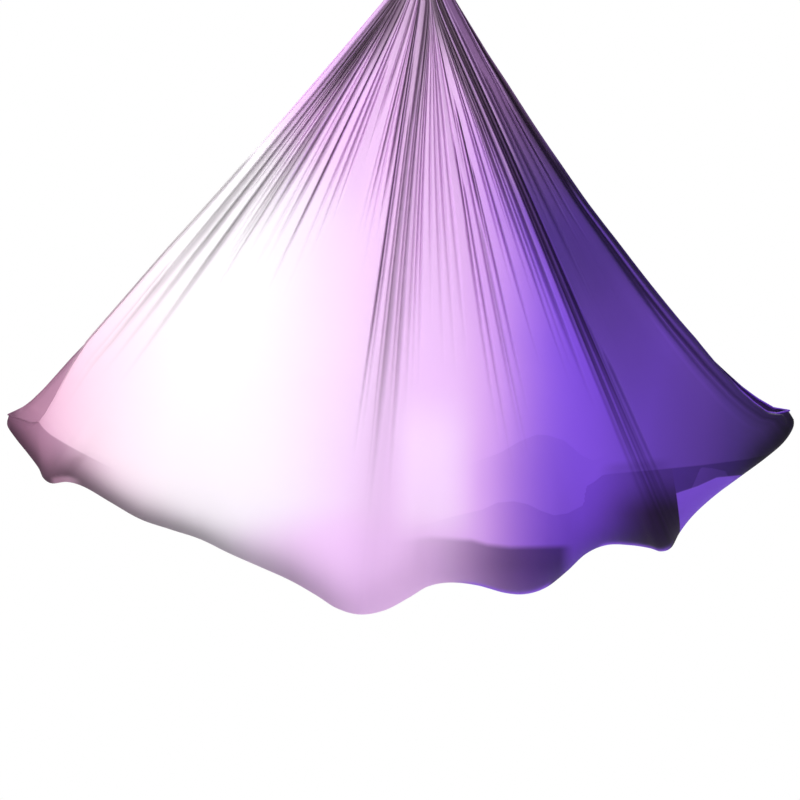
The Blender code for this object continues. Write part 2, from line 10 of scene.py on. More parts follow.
import bpy
import numpy as np
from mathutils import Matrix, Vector


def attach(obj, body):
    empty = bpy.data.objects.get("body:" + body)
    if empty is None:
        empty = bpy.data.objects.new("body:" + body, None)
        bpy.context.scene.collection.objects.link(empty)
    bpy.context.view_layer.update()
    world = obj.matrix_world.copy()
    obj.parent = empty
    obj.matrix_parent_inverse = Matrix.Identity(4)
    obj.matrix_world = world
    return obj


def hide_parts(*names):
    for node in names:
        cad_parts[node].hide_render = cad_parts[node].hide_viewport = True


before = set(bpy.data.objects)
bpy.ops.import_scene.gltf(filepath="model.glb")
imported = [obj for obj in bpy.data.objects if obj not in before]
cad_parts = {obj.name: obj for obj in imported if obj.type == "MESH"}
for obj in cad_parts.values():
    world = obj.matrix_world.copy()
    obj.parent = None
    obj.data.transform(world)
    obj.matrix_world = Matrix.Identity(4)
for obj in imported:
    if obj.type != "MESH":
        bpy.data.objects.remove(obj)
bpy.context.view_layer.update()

# %% [markdown]
# ## Camera
# The picture looks straight at the seat from far away, so the lines stay almost parallel.
# A long lens does that: the further back the camera, the longer the lens for the same frame.

# %% Camera
VIEW_WIDE = 2.857  # width of the picture in metres, measured at the cloth
VIEW_MIDDLE = (-0.075, -2.031)  # x and z in the middle of the picture
CAMERA_BACK = 12.0
SENSOR_WIDE = 36  # mm


def add_camera():
    """A camera that looks straight along y."""
    data = bpy.data.cameras.new("front_camera")
    data.sensor_width = SENSOR_WIDE
    data.lens = SENSOR_WIDE * CAMERA_BACK / VIEW_WIDE
    data.clip_end = 100
    camera = bpy.data.objects.new("front_camera", data)
    camera.location = (VIEW_MIDDLE[0], -CAMERA_BACK, VIEW_MIDDLE[1])
    camera.rotation_euler = (math.radians(90), 0, 0)
    bpy.context.scene.collection.objects.link(camera)
    bpy.context.scene.camera = camera
    return camera


camera = add_camera()
print("Lens", round(camera.data.lens), "mm at", CAMERA_BACK, "m")

# %% [markdown]
# ## Studio
# Thin cloth needs light from all round, because half of what it shows comes through it from
# behind. A pale world gives that, and two large soft lamps give the pleats their lit and
# shaded sides. The background is white only for what the camera sees, directly or in metal,
# so that it adds no light of its own. The floor keeps the shadow near the object and turns
# into that same white further out. World, floor and finishes are all trees of nodes, so a
# few helpers come first that add a node and link its inputs in one line.

# %% Node helpers
WHITE = (1, 1, 1, 1)


def new_material(name):
    """A material with its tree of nodes and its main shader."""
    material = bpy.data.materials.new(name)
    material.use_nodes = True
    return material, material.node_tree, material.node_tree.nodes["Principled BSDF"]


def add_node(tree, kind, inputs=(), **settings):
    """A node with its settings, and its inputs linked or filled by name or number."""
    node = tree.nodes.new(kind)
    for key, value in settings.items():
        setattr(node, key, value)
    for key, value in dict(inputs).items():
        if isinstance(value, bpy.types.NodeSocket):
            tree.links.new(value, node.inputs[key])
        else:
            node.inputs[key].default_value = value
    return node


def maths(tree, operation, a, b):
    """One operation on two values, each a socket or a plain number."""
    return add_node(tree, "ShaderNodeMath", {0: a, 1: b}, operation=operation).outputs[0]


def product(tree, first, *others):
    """All the values multiplied."""
    for other in others:
        first = maths(tree, "MULTIPLY", first, other)
    return first


def map_range(tree, value, low, high, start, end, smooth=True):
    """start where value is low, end where it is high, and a smooth or straight way between."""
    inputs = {"Value": value, "From Min": low, "From Max": high, "To Min": start, "To Max": end}
    node = add_node(tree, "ShaderNodeMapRange", inputs)
    node.interpolation_type = "SMOOTHSTEP" if smooth else "LINEAR"
    return node.outputs["Result"]


print("White as a node takes it:", WHITE)

# %% World and lamps
WORLD_LIGHT = 0.42


def white_for_camera(tree, plain, output, share=1):
    """Shows plain to the lights, and an even white to the camera and in reflections,
    as far as share says."""
    kind = "ShaderNodeBackground" if plain.type == "BACKGROUND" else "ShaderNodeEmission"
    white = add_node(tree, kind, {"Color": WHITE, "Strength": 1})
    path = add_node(tree, "ShaderNodeLightPath").outputs
    seen = maths(tree, "MAXIMUM", path["Is Camera Ray"], path["Is Glossy Ray"])
    seen = product(tree, maths(tree, "MAXIMUM", seen, path["Is Transmission Ray"]), share)
    mix = add_node(tree, "ShaderNodeMixShader", {0: seen, 1: plain.outputs[0], 2: white.outputs[0]})
    tree.links.new(mix.outputs[0], output.inputs["Surface"])


def make_world(strength):
    """An even pale light from all round."""
    world = bpy.data.worlds.new("studio")
    world.use_nodes = True
    tree = world.node_tree
    plain = tree.nodes["Background"]
    plain.inputs["Color"].default_value = WHITE
    plain.inputs["Strength"].default_value = strength
    white_for_camera(tree, plain, tree.nodes["World Output"])
    bpy.context.scene.world = world


def soft_lamp(name, place, aim, size, watts):
    """A round lamp at a place, turned towards its aim."""
    data = bpy.data.lights.new(name, "AREA")
    data.shape = "DISK"
    data.size = size
    data.energy = watts
    lamp = bpy.data.objects.new(name, data)
    lamp.location = place
    way = [b - a for a, b in zip(place, aim)]
    lamp.rotation_mode = "QUATERNION"
    lamp.rotation_quaternion = Vector(way).to_track_quat("-Z", "Y")
    bpy.context.scene.collection.objects.link(lamp)


make_world(WORLD_LIGHT)
soft_lamp("key", (-2.6, -5.0, 0.4), aim=(0, 0, -2.0), size=3.0, watts=320)
soft_lamp("back", (1.6, 4.5, 1.2), aim=(0, 0, -1.9), size=3.5, watts=260)
bpy.context.scene.view_settings.view_transform = "Standard"
print("Lamps:", [lamp.name for lamp in bpy.data.lights])

# %% Floor
FLOOR_Z = -3.75
FLOOR_RADIUS = 9
FLOOR_FADE = (1.1, 2.3)  # how far from its middle it starts to turn white, and where it is white


def make_floor():
    """A round matt floor, pale grey near the object."""
    bpy.ops.mesh.primitive_circle_add(
        vertices=96, radius=FLOOR_RADIUS, fill_type="NGON", location=(0, 0, FLOOR_Z)
    )
    floor = bpy.context.object
    floor.name = "floor"
    material, tree, plain = new_material("studio_floor")
    plain.inputs["Base Color"].default_value = (0.86, 0.86, 0.87, 1)
    plain.inputs["Roughness"].default_value = 0.9
    place = add_node(tree, "ShaderNodeTexCoord").outputs["Object"]
    far = add_node(tree, "ShaderNodeVectorMath", {0: place}, operation="LENGTH").outputs["Value"]
    white_for_camera(tree, plain, tree.nodes["Material Output"], map_range(tree, far, *FLOOR_FADE, 0, 1))
    floor.data.materials.append(material)


bpy.ops.object.select_all(action="DESELECT")
make_floor()

# %% [markdown]
# ## The cloth: where its threads run
# The real piece is one sheet, 2.8 m wide and 5 m long. Both of its ends go up to the knot, and
# its middle is the seat. So a point on it needs two numbers only: its share of the width, from
# the left edge to the right, and how far it is down one of the two falls. The seat's lower
# edge is a smooth curve through measured dips, and every thread runs down from the knot to
# its own place on that curve.

# %% Seat line
CLOTH_WIDE = 2.8
CLOTH_LONG = 5.0
CURVE_STEPS = 600
SEAT_LINE = [  # x and z, from the left tip to the right one
    (-1.471, -2.083), (-1.478, -2.120), (-1.450, -2.165), (-1.403, -2.224), (-1.366, -2.274),
    (-1.349, -2.310), (-1.318, -2.329), (-1.262, -2.324), (-1.200, -2.343), (-1.111, -2.395),
    (-1.004, -2.456), (-0.896, -2.493), (-0.789, -2.528), (-0.682, -2.580), (-0.575, -2.627),
    (-0.468, -2.675), (-0.375, -2.728), (-0.300, -2.775), (-0.218, -2.797), (-0.130, -2.782),
    (-0.045, -2.738), (0.025, -2.697), (0.104, -2.683), (0.200, -2.693), (0.300, -2.720),
    (0.375, -2.724), (0.448, -2.700), (0.520, -2.644), (0.590, -2.580), (0.665, -2.549),
    (0.750, -2.550), (0.815, -2.560), (0.858, -2.572), (0.895, -2.557), (0.925, -2.503),
    (0.975, -2.440), (1.050, -2.372), (1.139, -2.306), (1.225, -2.243), (1.292, -2.186),
    (1.328, -2.133), (1.330, -2.095), (1.312, -2.069),
]


def smooth_curve(values, places):
    """A smooth curve through evenly spaced values."""
    slopes = np.gradient(values)
    left = np.clip(np.floor(places).astype(int), 0, len(values) - 2)
    t = places - left
    a = 2 * t**3 - 3 * t**2 + 1
    b = t**3 - 2 * t**2 + t
    c = 3 * t**2 - 2 * t**3
    d = t**3 - t**2
    return a * values[left] + b * slopes[left] + c * values[left + 1] + d * slopes[left + 1]


def lengths_along(path):
    """How far each point of a path lies from its start, along it."""
    return np.concatenate([[0], np.cumsum(np.linalg.norm(np.diff(path, axis=0), axis=1))])


def seat_points(shares):
    """x and z on the seat line at shares of its length."""
    corners = np.array(SEAT_LINE)
    places = np.linspace(0, len(corners) - 1, CURVE_STEPS)
    fine = np.stack([smooth_curve(corners[:, axis], places) for axis in (0, 1)], axis=1)
    lengths = lengths_along(fine)
    wanted = np.asarray(shares) * lengths[-1]
    return np.stack([np.interp(wanted, lengths, fine[:, axis]) for axis in (0, 1)], axis=1)


seat_line = seat_points(np.linspace(0, 1, CURVE_STEPS))
print("The seat line is", round(float(lengths_along(seat_line)[-1]), 2), "m long")

# %% Side edges of the threads' fan
NECK_Z = -0.4795  # where the threads leave the knot
NECK_WIDE = 0.026  # half the bundle's width there, and half its depth
NECK_DEEP = 0.026
FAN_X, FAN_Z = 0.014, -0.424  # the point from which all threads fan out
FAN_START = FAN_Z - NECK_Z  # distance from that point at which the threads leave the knot
FAN_OPEN = 0.19  # distance at which they have opened into the fan
NAMED_AT = 1.07  # distance at which a thread's angle is taken as its name
PULL_FADES = 0.22  # distance over which the sideways pull near the knot dies out
# Distance and angle, in degrees from straight down, along both free side edges.
LEFT_EDGE = [
    (0.2, -39.8), (0.36, -39.75), (0.6, -39.75), (0.9, -40.1), (1.4, -40.7), (1.8, -40.75),
    (1.93, -41.0), (2.08, -41.1), (2.14, -41.25), (2.18, -41.5), (2.2265, -41.83),
]
RIGHT_EDGE = [
    (0.2, 30.6), (0.43, 30.8), (0.54, 31.3), (0.71, 31.6), (1.07, 32.5), (1.25, 33.25), (1.43, 33.8),
    (1.61, 34.4), (1.79, 35.15), (1.93, 36.0), (2.0, 36.6), (2.06, 37.3), (2.094, 38.28),
]
# Threads by their angle lower down, and how far each is pulled sideways near the knot.
PULL = [
    (-41, 0), (-38.5, 3.0), (-37, 4.0), (-34.8, 5.2), (-32, 3.4), (-29.5, 1.6), (-27, 0.9), (-25, 3.9),
    (-20.7, 3.1), (-16, 5.0), (-12.4, 4.6), (-9.4, 2.5), (-7.9, 1.8), (-5.4, 8.0), (-1.5, 7.4),
    (2.5, 4.0), (6, 0.8), (9, -1.9), (12.1, -4.5), (15.2, -6.0), (18.4, -7.6), (21.2, -8.8),
    (23.6, -3.6), (26, -1.0), (28, 1.5), (29.5, 2.5), (31, 1.6), (32.6, 0.2),
]
print("The side edges leave the knot at", LEFT_EDGE[0][1], "and", RIGHT_EDGE[0][1], "degrees")

# %% Threads in front view
def ease(values, start, end):
    """0 before start, 1 after end and smooth in between."""
    t = np.clip((values - start) / (end - start), 0, 1)
    return t * t * (3 - 2 * t)


def between(values, table):
    """Values looked up in a table of pairs, straight between its rows."""
    return np.interp(values, *zip(*table))


def straight_angles(shares, far):
    """The angle of each thread from straight down at a distance from the fan's point, in degrees.
    A thread is straight, but the free side edges hang in a slight bow, which dies out over the
    threads beside them."""
    seat = seat_points(shares)
    u = np.asarray(shares)[:, None]
    angle = np.degrees(np.arctan2(seat[:, 0] - FAN_X, FAN_Z - seat[:, 1]))[:, None]
    left = between(far, LEFT_EDGE) - LEFT_EDGE[-1][1]
    right = between(far, RIGHT_EDGE) - RIGHT_EDGE[-1][1]
    return angle + left * np.exp(-u / 0.08) + right * (1 - ease(1 - u, 0.01, 0.17))


def fan_angles(shares):
    """The angle by which a thread and the tucks on it are known."""
    return straight_angles(shares, np.full((len(shares), 1), NAMED_AT))[:, 0]


def fan(shares, along):
    """x and z of each thread: out of the gathered bundle first, then fanning out to the seat."""
    seat = seat_points(shares)
    seat_far = np.hypot(seat[:, 0] - FAN_X, seat[:, 1] - FAN_Z)[:, None]
    far = FAN_START + (seat_far - FAN_START) * np.asarray(along)[None, :]
    pull = between(fan_angles(shares), PULL)[:, None]
    fading = np.exp(-np.clip(far - FAN_OPEN, 0, None) / PULL_FADES)
    angle = np.radians(straight_angles(shares, far) + pull * fading)
    out = ease(far, FAN_START, FAN_OPEN)
    neck = -NECK_WIDE * np.cos(np.pi * np.asarray(shares))[:, None]
    x = neck * (1 - out) + (FAN_X + far * np.sin(angle)) * out
    z = NECK_Z * (1 - out) + (FAN_Z - far * np.cos(angle)) * out
    return x, z


fine_shares = np.linspace(0, 1, 400)
fine_angles = np.maximum.accumulate(fan_angles(fine_shares))
print("The threads fan from", round(fine_angles[0], 1), "to", round(fine_angles[-1], 1), "degrees")

# %% [markdown]
# ## The cloth: pleats
# Two metres and more of cloth go through a knot as thick as a wrist. Near the knot the extra
# width lies in tucks: narrow, deep folds that go back from the front, with smooth cloth
# between them. Each tuck has one sharp lip and one side that slopes out of it, and it runs
# along the threads and gets shallower until it ends like a needle. The big tucks are written
# as a list, because their order gives this cloth its look. Chance with a fixed seed adds
# small ones. Folding a flat grid by formula keeps every tuck straight along its threads,
# which a cloth simulation of this size would take minutes to do.

# %% Tucks of the front
# A tuck's darkness is painted shade in the cloth's colour, and it also sets how deep the tuck goes.
FRONT_TUCKS = [  # angle and width in degrees, darkness, where it starts and ends in m, sloping side
    (-40.25, 0.45, 0.40, 0.98, 1.70, 1), (-38.4, 1.30, 0.50, 0.10, 1.82, 1),
    (-37.4, 0.25, 0.35, 0.40, 1.00, 1), (-38.9, 0.15, 0.36, 1.45, 1.90, 1),
    (-38.3, 0.15, 0.36, 1.50, 1.98, 1), (-37.0, 0.90, 0.62, 0, 1.80, 1),
    (-36.0, 0.30, 0.35, 0.30, 1.20, -1), (-35.5, 0.30, 0.45, 0.30, 1.00, 1),
    (-35.0, 0.90, 0.62, 0, 1.80, 1), (-34.1, 0.25, 0.40, 0.40, 1.30, 1),
    (-33.4, 0.30, 0.30, 0.30, 1.35, 1), (-32.6, 0.35, 0.45, 0.30, 1.35, 1),
    (-32.2, 0.80, 0.40, 0.40, 1.35, 1), (-31.6, 0.30, 0.50, 0.70, 1.45, -1),
    (-30.2, 1.15, 0.56, 0, 1.20, 1), (-27.0, 1.05, 0.50, 0, 1.20, 1), (-24.8, 0.70, 0.70, 0, 1.28, 1),
    (-21.9, 0.40, 0.26, 0.15, 0.98, 1), (-20.4, 0.80, 0.32, 0, 1.12, 1),
    (-18.9, 0.50, 0.16, 0.45, 1.00, -1), (-15.8, 0.90, 0.42, 0, 0.66, 1),
    (-12.3, 0.80, 0.50, 0, 0.98, 1), (-9.5, 1.20, 0.60, 0, 0.98, 1), (-8.0, 0.50, 0.72, 0.10, 1.75, 1),
    (-7.3, 0.30, 0.38, 0.40, 1.70, 1), (-6.2, 0.30, 0.28, 0.60, 1.90, -1),
    (-5.7, 1.10, 0.52, 0, 1.92, 1), (-4.3, 0.30, 0.32, 0.50, 1.72, 1), (-3.8, 0.80, 0.45, 0, 1.88, 1),
    (-2.4, 0.40, 0.34, 0.20, 1.60, 1), (-1.6, 0.35, 0.30, 0.30, 1.50, 1),
    (-0.8, 0.40, 0.25, 0.25, 1.50, 1), (1.0, 0.60, 0.16, 0.20, 1.25, 1),
    (2.6, 0.90, 0.15, 0.30, 1.40, 1), (4.2, 0.80, 0.12, 0.30, 1.45, 1),
    (5.9, 0.80, 0.12, 0.35, 1.40, 1), (8.7, 0.42, 0.56, 0.72, 1.30, 1),
    (8.6, 0.30, 0.28, 1.00, 1.72, 1), (9.5, 0.30, 0.42, 0.85, 1.80, -1),
    (10.4, 0.60, 0.75, 0.12, 0.68, -1), (11.1, 0.35, 0.38, 0.60, 1.75, 1),
    (11.5, 0.30, 0.40, 1.00, 1.78, -1), (12.2, 0.60, 0.88, 0.58, 1.12, -1),
    (12.6, 0.30, 0.50, 0.80, 1.62, 1), (14.6, 0.45, 0.34, 0.20, 1.20, 1),
    (15.5, 0.45, 0.50, 0.40, 1.46, -1), (17.5, 0.38, 0.45, 0.50, 1.24, 1),
    (18.3, 0.80, 0.70, 0.30, 1.10, -1), (18.6, 0.50, 0.85, 0.60, 1.05, -1),
    (18.5, 0.35, 0.50, 0.80, 1.55, -1), (19.3, 0.35, 0.45, 0.50, 1.52, -1),
    (20.4, 0.90, 0.72, 0, 1.66, -1), (21.6, 0.50, 0.85, 0, 1.70, 1), (21.8, 0.25, 0.50, 1.20, 2.40, 1),
    (22.1, 0.80, 0.95, 0, 2.15, 1), (22.5, 0.22, 0.60, 1.30, 2.60, 1), (23.3, 0.60, 0.97, 0, 2.20, -1),
    (22.9, 0.22, 0.60, 1.40, 2.60, -1), (23.5, 0.28, 0.45, 1.45, 2.50, 1),
    (24.0, 0.35, 0.45, 1.60, 2.50, 1), (24.5, 0.50, 0.32, 0.30, 1.05, 1),
    (25.6, 0.60, 0.32, 0.50, 1.30, 1), (27.6, 0.50, 0.30, 0.60, 1.12, 1),
    (28.9, 0.45, 0.60, 0.65, 1.14, -1), (30.9, 1.10, 0.74, 0, 2.05, 1),
    (31.5, 0.60, 0.90, 0.20, 2.25, 1), (32.45, 0.60, 0.88, 0.90, 2.10, -1),
]
# Painted shade of whole groups of tucks near the knot.
SHADED_GROUPS = [  # angle, half width in degrees, darkness, where it starts and ends to fade in m
    (0, 60, 0.13, 0.22, 0.34), (-28, 7, 0.26, 0.25, 0.52), (3, 12, 0.2, 0.2, 0.42),
    (-36.8, 1.7, 0.92, 0.42, 0.74), (-34.4, 2.0, 0.92, 0.42, 0.76), (-31.2, 1.2, 0.4, 0.6, 1.32),
    (-29.4, 1.7, 0.82, 0.24, 0.5), (-25.2, 1.8, 0.66, 0.26, 0.57), (-16.5, 1.6, 0.3, 0.2, 0.44),
    (-9.2, 1.0, 0.45, 0.33, 0.72), (-5.2, 1.3, 0.5, 0.31, 0.68), (-3.2, 1.4, 0.4, 0.3, 0.66),
    (-5.0, 2.3, 0.12, 1.6, 3.5), (1.5, 5.0, 0.09, 1.0, 1.7), (10.6, 1.2, 0.5, 0.21, 0.46),
    (13.0, 1.6, 0.7, 0.22, 0.46), (15.5, 1.4, 0.78, 0.26, 0.54), (17.6, 1.2, 0.82, 0.33, 0.7),
    (19.2, 1.0, 0.72, 0.45, 0.94), (20.4, 0.8, 0.72, 0.6, 1.22), (22.1, 0.6, 0.9, 1.12, 1.6),
    (23.0, 0.42, 0.95, 1.3, 1.8), (26.3, 2.6, 0.24, 0.95, 2.05), (28.4, 1.0, 0.5, 0.3, 0.56),
    (30.6, 0.9, 0.75, 0.52, 1.15), (31.5, 0.9, 0.72, 1.3, 2.5), (32.1, 0.45, 0.75, 0.7, 1.2),
]
RIDGES = [  # thin lit lines: angle, half width in degrees, strength, where it starts and ends in m
    (-39.2, 0.50, 0.5, 0.10, 0.90), (-37.6, 0.16, 0.7, 0.30, 0.95), (-36.4, 0.16, 0.6, 0.25, 0.80),
    (-30.6, 0.22, 0.8, 0.40, 1.10), (-24.3, 0.20, 0.5, 0.20, 1.00), (-21.0, 0.20, 0.6, 0.20, 0.80),
    (-7.7, 0.16, 0.5, 0.20, 1.10), (-4.9, 0.16, 0.4, 0.20, 1.10), (7.6, 0.30, 0.5, 0.20, 0.60),
    (19.8, 0.22, 0.45, 0.80, 1.80), (21.2, 0.24, 1.0, 0.12, 1.40), (21.8, 0.12, 0.35, 1.20, 2.20),
    (23.65, 0.24, 1.0, 0.12, 0.98), (25.0, 0.18, 0.35, 0.15, 0.70), (29.5, 0.45, 1.0, 0.18, 0.72),
    (31.8, 0.14, 0.9, 1.02, 1.90), (30.2, 0.10, 0.4, 1.55, 2.25), (31.1, 0.10, 0.5, 1.50, 2.25),
]
darkest = max(FRONT_TUCKS, key=lambda tuck: tuck[2])
print(len(FRONT_TUCKS), "tucks are in the list, and the darkest lies at", darkest[0], "degrees")

# %% Small tucks by chance
COLUMNS = 584  # threads of the mesh across the cloth
SMOOTH_EDGE = 1.5  # degrees at both side edges where chance adds no tuck


def small_tucks(seed, count, deepest):
    """Tucks by chance, in the same form as the list."""
    chance = np.random.default_rng(seed)
    tucks = []
    for _ in range(count):
        first = chance.uniform(-0.2, 0.4)
        length = chance.uniform(0.5, 1.3)
        tucks.append((
            chance.uniform(fine_angles[0] + SMOOTH_EDGE, fine_angles[-1] - SMOOTH_EDGE),
            chance.uniform(0.35, 0.75),
            chance.uniform(0.05, deepest),
            first,
            first + length,
            chance.choice([-1, 1]),
        ))
    return tucks


angles = np.linspace(fine_angles[0], fine_angles[-1], COLUMNS)
share = np.interp(angles, fine_angles, fine_shares)
share[0], share[-1] = 0, 1
STEP = angles[1] - angles[0]
print("The mesh has a column of threads every", round(STEP, 2), "degrees")

# %% How tucks lie
def near(values, width):
    """1 at zero, and fading out on both sides over about a width."""
    return np.exp(-((values / width) ** 2))


def tuck_profile(angle, width, darkness, first, last, side, distance):
    """1 along the bottom of a tuck, 0 past its sharp lip, and a slope out of it on the other side."""
    offset = ((angles - angle) * side)[:, None]
    ending = ease(distance, 0.65 * last, 1.08 * last)
    wide = width * (1 + 0.4 * (1 - ease(distance, 0.2, 0.7)) - 0.7 * ending)
    slope = 1 - ease(offset, 0.15 * wide, wide)
    lip = np.clip(1 + offset / (STEP * (4 - 3 * darkness)), 0, 1)
    lives = ease(distance, first - 0.06, first + 0.05) * (1 - ending)
    return np.where(offset < 0, lip, slope) * lives


def all_tucks(tucks, distance):
    """How deep in a tuck each point lies, and how much painted shade it gets there, both from 0 to 1."""
    smooth_share = np.ones(distance.shape)
    light_share = np.ones(distance.shape)
    for angle, width, darkness, first, last, side in tucks:
        profile = tuck_profile(angle, width, darkness, first, last, side, distance)
        smooth_share *= 1 - profile * (0.20 + 0.80 * darkness)
        light_share *= 1 - profile * darkness
    return 1 - smooth_share, 1 - light_share


def group_shade(groups, distance):
    """Whole groups of tucks lie in each other's shade near the knot."""
    light_share = np.ones(distance.shape)
    for angle, half, darkness, first, last in groups:
        light_share *= 1 - darkness * near(angles - angle, half)[:, None] * (1 - ease(distance, first, last))
    return 1 - light_share


def lit_ridges(distance):
    """1 on the thin lines where the edge of a fold catches the light."""
    dull_share = np.ones(distance.shape)
    for angle, half, strength, first, last in RIDGES:
        lives = ease(distance, first - 0.05, first + 0.05) * (1 - ease(distance, 0.6 * last, last))
        dull_share *= 1 - strength * near(angles - angle, half)[:, None] * lives
    return 1 - dull_share


ridge_angles = [ridge[0] for ridge in RIDGES]
print(len(RIDGES), "lit lines lie between", min(ridge_angles), "and", max(ridge_angles), "degrees")

# %% Depths of a fall
NECK_THIN = 0.0055  # half the bundle's depth at its side edges
EDGE_GAP = 0.0065  # half the gap between the falls at their side edges
POUCH_DEEP = 0.300  # half the depth of the open seat
LEFT_INWARD = (0.755, -0.656)  # x and z of the way that the front edge stands back at each tip
RIGHT_INWARD = (-0.79, -0.61)
BACK_DEEPER = 2.2  # the few tucks of the back are deeper
UPPER_SHARE = 0.8  # of a fall, down to where the rows get closer again for the seat
upper_rows = UPPER_SHARE * np.linspace(0, 1, 50) ** 1.25
lower_rows = 1 - (1 - UPPER_SHARE) * (1 - np.linspace(0, 1, 31)[1:]) ** 2
ROWS = np.concatenate([upper_rows, lower_rows])
# Depth of a tuck by distance, and how far the front edge stands back by its share of the fall.
TUCK_DEEP = [
    (0, 0.003), (0.06, 0.008), (0.2, 0.020), (0.6, 0.034), (0.9, 0.034), (1.2, 0.026), (1.6, 0.014),
    (2.0, 0.006), (2.6, 0),
]
LEFT_INSET = [
    (0.80, 0), (0.823, 0.002), (0.871, 0.023), (0.901, 0.040), (0.931, 0.057), (0.954, 0.071),
    (0.974, 0.084), (0.986, 0.070), (1.0, 0),
]
RIGHT_INSET = [(0.80, 0), (0.851, 0.006), (0.936, 0.021), (0.973, 0.029), (0.992, 0.024), (1.0, 0)]
deepest = max(depth for distance, depth in TUCK_DEEP)
print("A fall has", len(ROWS), "rows, and the front's tucks go back by up to", deepest, "m")

# %% Shape of one fall
def pouch(u, v):
    """The side view of a fall: nearly flat down the front, then in under the seat.
    Near the left tip it turns under at a crease. Both forms are about 1 where they are widest."""
    round_turn = 1.29 * v * np.sqrt(np.clip(1 - v**10, 0, 1))
    crease = 0.945 + 0.035 * np.exp(-u / 0.012)
    before = 1.06 * v
    after = 1.06 * crease * (1 - v) / (1 - crease)
    sharp_turn = -0.02 * np.log(np.exp(-before / 0.02) + np.exp(-after / 0.02))
    return round_turn + (np.clip(sharp_turn, 0, None) - round_turn) * near(u, 0.11)


def front_inset(u, v):
    """How far the front edge stands back from both tips, where the inside of the back fall shows."""
    left = between(v, LEFT_INSET) * np.exp(-((u / 0.05) ** 1.3))
    right = between(v, RIGHT_INSET) * np.exp(-(((1 - u) / 0.03) ** 1.3))
    return [left * a + right * b for a, b in zip(LEFT_INWARD, RIGHT_INWARD)]


def seat_lobes(arch, v):
    """Where the seat hangs lower than its even line, the cloth above it also stands out further."""
    low = seat_points(share)[:, 1]
    reach = 45  # columns on each side that the even line is an average of
    even = np.convolve(np.pad(low, reach, "edge"), np.ones(2 * reach + 1) / (2 * reach + 1), "valid")
    return (even - low)[:, None] * 0.45 * v**6 * (1 - v**30) * np.minimum(1, arch * 4)


def fall(side, tucks):
    """Points of one fall, columns by rows, how far each is from the knot, and how dark.
    The side is -1 for the front and 1 for the back."""
    u, v = share[:, None], ROWS[None, :]
    arch = np.clip(np.sin(np.pi * u), 0, 1)
    x, z = fan(share, ROWS)
    distance = np.hypot(x - FAN_X, z - FAN_Z)
    tucked, shaded = all_tucks(tucks, distance)
    bundle = (NECK_THIN + (NECK_DEEP - NECK_THIN) * arch) * (1 - v)
    seat = POUCH_DEEP * (0.25 + 0.75 * arch**0.8) * pouch(u, v)
    out = bundle + EDGE_GAP * v * (1 - v**30) + seat + seat_lobes(arch, v)
    wave = 0.006 * np.sin(angles / 2.1 + 0.7 * side)[:, None] * np.minimum(1, arch * 3)
    wave = wave * ease(distance, 0.1, 0.6) * (1 - ease(distance, 1.0, 2.0))
    deep = between(distance, TUCK_DEEP) * (1.0 if side < 0 else BACK_DEEPER)
    y = side * (out + wave - np.minimum(deep, 0.75 * out) * tucked)
    if side < 0:
        inset_x, inset_z = front_inset(u, v)
        x, z = x + inset_x, z + inset_z
        # The front is nearer to the camera, so it is made as much smaller as it would look larger.
        closer = ease(distance, 0.06, 0.2) * y / CAMERA_BACK
        x, z = x + closer * (x - VIEW_MIDDLE[0]), z + closer * (z - VIEW_MIDDLE[1])
    return np.stack([x, y, z], axis=2), distance, shaded


front, front_far, front_shade = fall(-1, FRONT_TUCKS + small_tucks(seed=5, count=26, deepest=0.11))
ROUND_THE_SEAT = [tuck for tuck in FRONT_TUCKS if tuck[4] > 2.1]  # long enough to show on the back
back, back_far, back_shade = fall(1, ROUND_THE_SEAT + small_tucks(seed=9, count=80, deepest=0.60))
print("One fall has", front.shape[0], "columns and", front.shape[1], "rows")

# %% [markdown]
# ## The cloth: one sheet
# The front fall, the seat and the back fall are one grid of faces, so the cloth has no seam at
# the seat. A few rows more carry each fall up into the knot, where it disappears. The free
# side edges of knitted cloth roll up by themselves, so a few columns more curl each edge.

# %% Rows up into the knot
KNOT_ROWS = ((0.024, 0.62), (0.014, 0.70), (0.006, 0.86))  # height above the neck, share of its size


def rows_in_knot(grid):
    """A few rows above the neck, drawn together inside the knot's turns."""
    top = grid[:, :1]
    rows = [top * np.array([narrow, narrow, 1]) + np.array([0, 0, lift]) for lift, narrow in KNOT_ROWS]
    return np.concatenate([*rows, grid], axis=1)


def join_falls(down, up):
    """From the front knot down to the seat and up to the back knot, with the seat's row once."""
    return np.concatenate([down, up[:, -2::-1]], axis=1)


sheet_points = join_falls(rows_in_knot(front), rows_in_knot(back))
print("The sheet is a grid of", sheet_points.shape[:2])

# %% Curled edges
CURL_STEPS = 6
CURL_TURN = 46  # degrees from one column of the curl to the next
CURL_SMALLEST = 0.0012
CURL_ON_FALLS = 0.0042
INNER_COLUMN = 14  # the column that tells which way the cloth runs at its edge


def curl(points, end, radius):
    """Columns that roll the cloth's edge outwards, at the first (0) or last (-1) column."""
    edge = points[end]
    inner = points[INNER_COLUMN if end == 0 else -1 - INNER_COLUMN]
    across = edge - inner
    across /= np.linalg.norm(across, axis=1, keepdims=True)
    down = np.gradient(edge, axis=0)
    down /= np.linalg.norm(down, axis=1, keepdims=True)
    across -= down * np.sum(across * down, axis=1, keepdims=True)
    across /= np.linalg.norm(across, axis=1, keepdims=True)
    away = np.cross(across, down)
    if end == -1:
        away = -away
    columns = []
    for step in range(1, CURL_STEPS + 1):
        turn = math.radians(CURL_TURN) * step
        small = radius[:, None] * (1 - 0.06 * step)
        columns.append(edge + across * small * math.sin(turn) + away * small * (1 - math.cos(turn)))
    return np.stack(columns)


